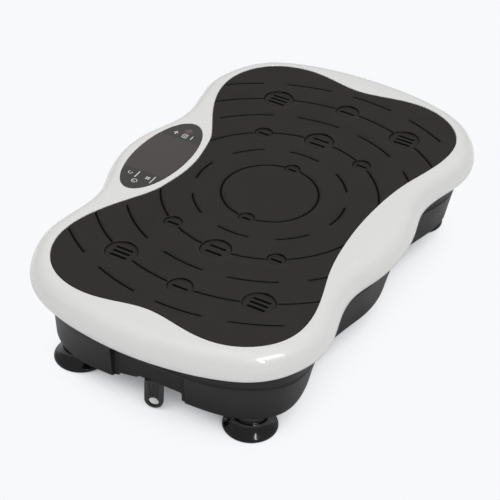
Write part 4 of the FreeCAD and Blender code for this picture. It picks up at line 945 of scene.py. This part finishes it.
def build_lens():
    levels = [(panel_oval(-0.5), PANEL_BOTTOM + 0.05), (panel_oval(), PANEL_BOTTOM + 0.4),
              (panel_oval(), PANEL_TOP - LENS_EDGE)]
    for a in np.linspace(0.15, 1.0, 6) * math.pi / 2:
        levels.append((panel_oval(-0.5 * (1 - math.cos(a))),
                       PANEL_TOP - LENS_EDGE + 0.45 * math.sin(a)))
    for scale in (0.985, 0.96, 0.90, 0.8, 0.65, 0.5, 0.35, 0.2, 0.08):
        levels.append((panel_oval(scale=scale), PANEL_TOP - LENS_CROWN * scale ** 2))
    lens = Builder()
    rings = lens.rings(levels)
    lens.fan(rings[-1], (PANEL_X, PANEL_Y, PANEL_TOP))
    lens.fan(rings[0], (PANEL_X, PANEL_Y, PANEL_BOTTOM + 0.05))
    panel = lens.build("console_lens")
    sharpen(panel, 50)
    finish_piece(panel, "smoked_panel", "platform", replaces="console_panel")


def lens_z(x, y):
    reach = ((x - PANEL_X) / PANEL_A) ** 2 + ((y - PANEL_Y) / PANEL_B) ** 2
    return PANEL_TOP - LENS_CROWN * min(1.0, reach)


def icon_bar(x, y, width, height):
    w, h = width / 2, height / 2
    return [(x - w, y - h), (x + w, y - h), (x + w, y + h), (x - w, y + h)]


def icon_ring(x, y, radius, width, start=0.0, end=360.0):
    """Quads along a circular stroke."""
    t = np.radians(np.linspace(start, end, 28))
    inner, outer = radius - width / 2, radius + width / 2
    return [[(x + r * math.cos(a), y + r * math.sin(a))
             for r, a in ((inner, t0), (outer, t0), (outer, t1), (inner, t1))]
            for t0, t1 in zip(t, t[1:])]


def icon_shapes():
    """Plain key symbols as polygons, with y measured from the middle of the feet."""
    shapes = icon_ring(-44.3, 133.3, 2.2, 0.8, 20, 300)
    shapes.append(icon_bar(-44.0, 125.2, 11.0, 1.2))
    for k in range(2):
        shapes.append(icon_bar(-44.4, 111.2 + 2.4 * k, 5.2, 0.8))
        shapes.append(icon_bar(-45.6 + 2.4 * k, 112.4, 0.8, 5.0))
    shapes.append(icon_bar(-44.6, 106.4, 13.0, 1.1))
    shapes += icon_ring(-55.2, 122.0, 2.9, 0.75)
    shapes.append(icon_bar(-55.2, 123.2, 0.8, 3.0))
    shapes.append(icon_bar(44.7, 131.2, 6.4, 1.1))
    shapes.append(icon_bar(44.7, 131.2, 1.1, 5.0))
    shapes += [icon_bar(43.4, 119.6 + k, 6.6, 0.8) for k in (-2.4, 0.0, 2.4)]
    shapes += [icon_bar(43.4 + k, 119.6, 0.8, 5.6) for k in (-3.3, 3.3)]
    shapes.append(icon_bar(43.6, 111.4, 7.0, 1.1))
    return shapes


def build_symbols():
    bm = bmesh.new()
    for shape in icon_shapes():
        plan = [(x, y + MID_Y) for x, y in shape]
        low, high = [[bm.verts.new((x * MM, y * MM, (lens_z(x, y) + lift) * MM))
                      for x, y in plan] for lift in (0.005, 0.045)]
        bm.faces.new(high)
        bm.faces.new(low[::-1])
        for i in range(len(plan)):
            j = (i + 1) % len(plan)
            bm.faces.new((low[i], low[j], high[j], high[i]))
    mesh = bpy.data.meshes.new("console_symbols")
    bmesh.ops.recalc_face_normals(bm, faces=bm.faces)
    bm.to_mesh(mesh)
    bm.free()
    symbols = bpy.data.objects.new("console_symbols", mesh)
    scene.collection.objects.link(symbols)
    paint(symbols, "icon_white")
    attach(symbols, "platform")


build_lens()
build_symbols()

# ------------------------------------------------------------------ base tub
TUB_POINTS = 3000
FOOT = resample(FOOT_HALF, TUB_POINTS) + np.array([0.0, MID_Y])
SHOULDER_LINE = resample(SHOULDER_HALF, TUB_POINTS) + np.array([0.0, MID_Y])
FOOT_NORMALS = inward_normals(FOOT)
SHOULDER_NORMALS = inward_normals(SHOULDER_LINE)
TUB_BOTTOM = tub_low[2]
FLOOR_Z = TUB_BOTTOM + 3.0
SHOULDER_Z = 66.0
CEILING = 63.6               # top of the recess at each x end
RECESS_X = 227.5
RECESS_Y = MID_Y - 2.9
FAR_X = 400.0                # beyond the tub, so no limit
# greatest |x| of the wall against distance in y from the recess middle
RECESS_STEPS = np.linspace(0, 90, 3601)
RECESS_LIMIT = np.interp(
    RECESS_STEPS,
    [0, 36.5, 38.2, 39.4, 40.2, 41.2, 42.8, 46, 90],
    [RECESS_X, RECESS_X, 227.9, 229.0, 231.0, 234.0, 237.5, 262.0, FAR_X])
RECESS_LIMIT = np.convolve(np.r_[np.full(60, RECESS_X), RECESS_LIMIT, np.full(60, FAR_X)],
                           hann(61), "same")[60:-60]


def with_recess(loop, grow):
    away = np.maximum(np.abs(loop[:, 1] - RECESS_Y) - grow, 0)
    limit = np.interp(away, RECESS_STEPS, RECESS_LIMIT) - grow
    cut = loop.copy()
    cut[:, 0] = np.sign(loop[:, 0]) * np.minimum(np.abs(loop[:, 0]), limit)
    return cut


def tub_level(z, inset, grow=None):
    """Wall loop and its z; grow widens the end recess, None leaves the recess out."""
    rise = (z - TUB_BOTTOM - 1.0) / (SHOULDER_Z - TUB_BOTTOM - 1.0)
    rise = min(1.0, max(0.0, rise))
    loop = FOOT + (SHOULDER_LINE - FOOT) * rise
    normals = FOOT_NORMALS + (SHOULDER_NORMALS - FOOT_NORMALS) * rise
    loop = loop + normals * np.reshape(inset, (-1, 1))
    return (loop if grow is None else with_recess(loop, grow)), z


def tub_levels():
    # how much of the outline lies over an end recess
    over = np.clip((47.0 - np.abs(SHOULDER_LINE[:, 1] - RECESS_Y)) / 5.0, 0, 1)
    over = over * (np.abs(SHOULDER_LINE[:, 0]) > 180)
    # rounded bottom edge: z, inset, recess growth
    levels = [tub_level(*row) for row in (
        (26.0, 1.5, 1.1), (26.12, 0.95, 0.7), (26.4, 0.45, 0.32), (26.8, 0.12, 0.1),
        (27.3, 0.0, 0.0))]
    levels += [tub_level(z, 0.0, 0.0) for z in (32.0, 38.0, 44.0, 50.0, 56.0, 60.0, CEILING)]
    levels += [tub_level(CEILING, 0.55 * over), tub_level(CEILING + 0.16, 0.22 * over),
               tub_level(CEILING + 0.55, 0.0)]
    # shoulder, upper wall, lip and back down inside: z, inset
    levels += [tub_level(z, inset) for z, inset in (
        (64.3, 0.0), (64.7, 0.03), (65.1, 0.10), (65.5, 0.22), (65.9, 0.40), (66.3, 0.62),
        (66.8, 0.84), (67.4, 1.02), (68.2, 1.16), (69.4, 1.25), (71.0, 1.3), (80.0, 1.3),
        (97.0, 1.3), (97.6, 1.5), (98.0, 2.1), (98.0, 3.7), (97.5, 4.4), (67.2, 4.4))]
    levels.append((tub_level(SHOULDER_Z, 4.35)[0], CEILING + 3.0))
    # inner wall behind the recess
    levels += [tub_level(z, inset, 3.0)
               for z, inset in ((CEILING + 2.9, 4.35), (46.0, 3.7), (FLOOR_Z, 3.2))]
    return levels


def tub_body():
    body = Builder()
    levels = tub_levels()
    body.rings(levels)
    # eight vent slots under the motor
    vents = [capsule(MOTOR_X + (k - 3.5) * 7.0, MID_Y - 5.0, radius=1.5, straight=27.5)
             for k in range(8)]
    for loop, z in ((levels[0][0], TUB_BOTTOM), (levels[-1][0], FLOOR_Z)):
        grid = hexgrid(loop.min(0), loop.max(0), 30.0)
        body.patch(*fill(loop, vents, grid[inside(grid, loop)]), z)
    for vent in vents:
        body.rings([(vent, TUB_BOTTOM), (vent, FLOOR_Z)])
    return body.build("base_tub")


def hook_pocket(side, g, x_inner, x_outer, z0):
    """Pocket at one x end, its y-z section grown by g."""
    section = [
        (33.0 + g, z0), (33.0 + g, max(26.6, z0 + 0.4)), (32.6 + g, 28.4 + g),
        (31.4 + g, 29.6 + g), (29.6 + g, 30.2 + g), (22.5 + g * 0.6, 31.4 + g),
        (13.0 + g * 0.6, 33.2 + g), (11.3 + g * 0.6, 34.1 + g), (9.6 + g * 0.3, 36.0 + g),
        (-36.0 - g, 36.0 + g), (-37.4 - g, 35.4 + g), (-38.0 - g, 34.0 + g), (-38.0 - g, z0)]
    return prism(*[[(side * x, y + MID_Y, z) for y, z in section] for x in (x_inner, x_outer)])


def build_tub():
    """The tub with its hook pockets, bosses, posts, foot bores and inlet pad."""
    sides = (-1, 1)
    posts = [(sx * x, sy * 82.0 + MID_Y) for sx in sides for sy in sides for x in (150.0, 45.0)]
    buffers = [(sx * 178.0, sy * 50.0 + MID_Y) for sx in sides for sy in sides]
    root = 27.6         # added parts start inside the floor
    pad_face = 118.5 + MID_Y
    shell = tub_body()
    adds = [post(x, y, root, 38.0, radius=8.0) for x, y in posts]
    adds += [post(x, y, root, 80.0, radius=11.0, count=48) for x, y in buffers]
    adds += [post(x, y, root, 40.0, radius=13.0, count=48) for x, y in FEET]
    adds += [hook_pocket(side, 3.0, 206.0, 226.0, root) for side in sides]
    adds.append(block(56.0, 132.0, 108.0 + MID_Y, 119.5 + MID_Y, 31.0, 62.0))
    boolean(shell, adds, "UNION")
    boolean(shell, [post(sx * PIN_X, PIN_Y, 38.0, 40.0, radius=8.0) for sx in sides], "UNION")
    cuts = [post(x, y, FLOOR_Z, 39.5, radius=2.5, count=24) for x, y in posts]
    cuts += [post(x, y, 66.0, 81.5, radius=4.0, count=32) for x, y in buffers]
    cuts += [post(x, y, 20.0, 45.0, radius=4.02, count=32) for x, y in FEET]
    cuts += [hook_pocket(side, 0.0, 209.0, 231.4, 12.0) for side in sides]
    # two rectangular recesses in the pad, then a smaller opening through each
    cuts += [block(x0, x1, pad_face, 140.0, 33.0, 59.0) for x0, x1 in ((59.0, 93.0), (97.0, 127.0))]
    boolean(shell, cuts, "DIFFERENCE")
    cuts = [block(x0, x1, 100.0 + MID_Y, 130.0, 37.0, 55.0)
            for x0, x1 in ((63.0, 89.0), (100.0, 124.0))]
    cuts += [post(sx * PIN_X, PIN_Y, 34.0, 41.5, radius=2.52, count=28) for sx in sides]
    boolean(shell, cuts, "DIFFERENCE")
    shade_smooth(shell.data)
    sharpen(shell, 34)
    finish_piece(shell, "black_shell", "base", replaces="base_shell")


build_tub()


# ------------------------------------------------------------------ suction feet
def cup_profile(radius, top):
    """(radius, z) stations from the bore, over the top, down the skirt and back under."""
    stem = [(0.0, 14.0), (4.02, 14.0), (4.02, top - 0.4), (4.5, top), (16.0, top),
            (16.6, top - 0.15), (17.0, top - 0.7), (17.0, 22.6), (16.75, 22.3), (16.75, 21.5),
            (17.0, 21.2)]
    neck = [(17.0, 17.0), (16.8, 16.7), (16.35, 16.4), (16.0, 15.9), (16.1, 15.4),
            (16.8, 15.0), (17.7, 14.9), (18.3, 14.6)]
    skirt = catmull([(18.55, 14.1), (19.3, 12.0), (20.9, 9.4), (23.4, 6.4), (26.2, 3.7),
                     (radius - 0.25, 2.3)], 5)
    lip = [(radius, 1.7), (radius, 1.0), (radius - 0.25, 0.45), (radius - 0.75, 0.1),
           (radius - 1.3, 0.0), (radius - 2.0, 0.25)]
    under = catmull([(radius - 2.6, 0.8), (22.0, 3.4), (15.0, 6.8), (7.0, 8.8), (2.0, 9.35)], 3)
    return [*stem, *neck, *skirt, *lip, *under, (0.0, 9.4)]


for number, ((low, high), (x, y)) in enumerate(zip(CUPS, FEET), start=1):
    profile = cup_profile((high[0] - low[0]) / 2, high[2])
    cup = lathe("suction_foot_%d" % number, profile, x, y, segments=96)
    sharpen(cup, 55)
    finish_piece(cup, "cup_rubber", "base", replaces="suction_cup_%d" % number)

# ------------------------------------------------------------------ CAD pieces that stay
BEVELLED = ("band_hook_left", "band_hook_right", "power_inlet", "switch_housing",
            "switch_rocker", "hook_pins")
for part in frame["record"]["subparts"]:
    ob = frame["nodes"][part["node"]]
    if ob.hide_render:
        continue
    paint(ob, part["material_slot"])
    shade_smooth(ob.data)
    if part["node"] in BEVELLED:
        bevel = ob.modifiers.new("edge", "BEVEL")
        bevel.width = 0.0004
        bevel.segments = 3
        bevel.limit_method = "ANGLE"
        bevel.angle_limit = math.radians(40)

# ------------------------------------------------------------------ floor (metres from here)
# ambient occlusion value to floor brightness, for the painted contact shadow
FLOOR_PAINTED_SHADOW = [
    (0.0, 0.03), (0.10, 0.12), (0.18, 0.29), (0.25, 0.55), (0.33, 0.71), (0.40, 0.79),
    (0.50, 0.905), (0.60, 0.965), (0.70, 1.0), (1.0, 1.0)]


def floor_material():
    """Paper that lights the scene as usual but is seen directly as a glowing sweep with a painted
    contact shadow.
    """
    material = bpy.data.materials.new("floor_paper")
    material.use_nodes = True
    tree = material.node_tree
    paper = tree.nodes["Principled BSDF"]
    paper.inputs["Base Color"].default_value = (0.90, 0.905, 0.92, 1)
    paper.inputs["Roughness"].default_value = 0.9
    paper.inputs["Specular IOR Level"].default_value = 0.05
    camera_ray = add_node(tree, "ShaderNodeLightPath").outputs["Is Camera Ray"]
    # painted contact shadow: the glowing sweep only darkens where ambient occlusion finds the
    # object closing off the light
    occlusion = add_node(tree, "ShaderNodeAmbientOcclusion", {"Distance": 0.085}, samples=24)
    ramp = add_node(tree, "ShaderNodeFloatCurve", {"Value": occlusion.outputs["AO"]})
    curve = ramp.mapping.curves[0]
    curve.points[0].location = FLOOR_PAINTED_SHADOW[0]
    curve.points[-1].location = FLOOR_PAINTED_SHADOW[-1]
    for position, value in FLOOR_PAINTED_SHADOW[1:-1]:
        curve.points.new(position, value)
    for point in curve.points:
        point.handle_type = "VECTOR"
    ramp.mapping.update()
    tone = add_node(tree, "ShaderNodeMix", data_type="RGBA", blend_type="MULTIPLY",
                    inputs={"Factor": 1.0, "A": (0.939, 0.947, 0.965, 1),
                            "B": ramp.outputs["Value"]})
    glow = add_node(tree, "ShaderNodeEmission",
                    {"Color": tone.outputs["Result"], "Strength": 1.0})
    seen = add_node(tree, "ShaderNodeMixShader",
                    {0: camera_ray, 1: paper.outputs[0], 2: glow.outputs[0]})
    # clear from behind, so the underside of the object can be looked at
    behind = add_node(tree, "ShaderNodeNewGeometry").outputs["Backfacing"]
    clear = add_node(tree, "ShaderNodeBsdfTransparent")
    sided = add_node(tree, "ShaderNodeMixShader",
                     {0: behind, 1: seen.outputs[0], 2: clear.outputs[0]})
    tree.links.new(sided.outputs[0], tree.nodes["Material Output"].inputs[0])
    return material


def build_floor(half=6, z=-0.0002):
    mesh = bpy.data.meshes.new("floor")
    corners = [(-half, -half, z), (half, -half, z), (half, half, z), (-half, half, z)]
    mesh.from_pydata(corners, [], [(0, 1, 2, 3)])
    floor = bpy.data.objects.new("floor", mesh)
    scene.collection.objects.link(floor)
    mesh.materials.append(floor_material())


build_floor()


# ------------------------------------------------------------------ world and lights
def build_world():
    """Soft white studio walls, a little darker where they are only seen mirrored."""
    world = bpy.data.worlds.new("studio")
    scene.world = world
    world.use_nodes = True
    tree = world.node_tree
    background = tree.nodes["Background"]
    background.inputs[0].default_value = (1.0, 0.995, 0.985, 1)
    glossy_ray = add_node(tree, "ShaderNodeLightPath").outputs["Is Glossy Ray"]
    strength = map_range(tree, glossy_ray, to_min=0.58, to_max=0.40)
    tree.links.new(strength, background.inputs[1])


def area(name, location, target, width, height, power):
    light = bpy.data.lights.new(name, "AREA")
    light.shape = "RECTANGLE"
    light.size, light.size_y = width, height
    light.energy = power
    ob = bpy.data.objects.new(name, light)
    ob.location = location
    aim = Vector(target) - Vector(location)
    ob.rotation_euler = aim.to_track_quat("-Z", "Y").to_euler()
    scene.collection.objects.link(ob)
    return ob


build_world()
BODY = (0, 0, 0.1)
CARD_TARGET = (-0.2246, -0.1281, 0.1188)
CARD_OFFSET = (-0.14, -0.68, 1.03)
# the main lights leave no reflections; the two cards only make reflections
for light in (
        area("key", (-0.1, 0.15, 1.95), BODY, width=1.2, height=0.9, power=14.5),
        area("fill", (-1.6, -1.5, 0.85), BODY, width=1.4, height=1.2, power=6.8),
        area("rim", (1.5, -0.9, 1.4), BODY, width=1.0, height=1.6, power=3.2)):
    light.visible_glossy = False
for light in (
        area("softbox_card", [t + o for t, o in zip(CARD_TARGET, CARD_OFFSET)], CARD_TARGET,
             width=0.46, height=0.44, power=4.8),
        area("strip_card", (-0.95, -1.15, 1.45), (-0.2, -0.1, 0.01),
             width=0.16, height=0.9, power=7.0)):
    light.visible_diffuse = False


# ------------------------------------------------------------------ camera
def build_camera():
    data = bpy.data.cameras.new("camera")
    data.sensor_width = 36.0
    data.lens = 121.845168
    data.shift_x = 0.025052
    data.shift_y = 0.041756
    data.clip_end = 50.0
    right = Vector((0.48585878, -0.87328496, 0.0362578))
    up = Vector((0.52360731, 0.32402711, 0.78793516))
    back = right.cross(up)
    place = Vector((-1.26721, -0.638137, 1.118991))
    camera = bpy.data.objects.new("camera", data)
    rows = [(right[i], up[i], back[i], place[i]) for i in range(3)]
    camera.matrix_world = Matrix((*rows, (0, 0, 0, 1)))
    scene.collection.objects.link(camera)
    scene.camera = camera


build_camera()
scene.view_settings.view_transform = "Standard"
scene.view_settings.look = "None"
scene.view_settings.exposure = 0.0
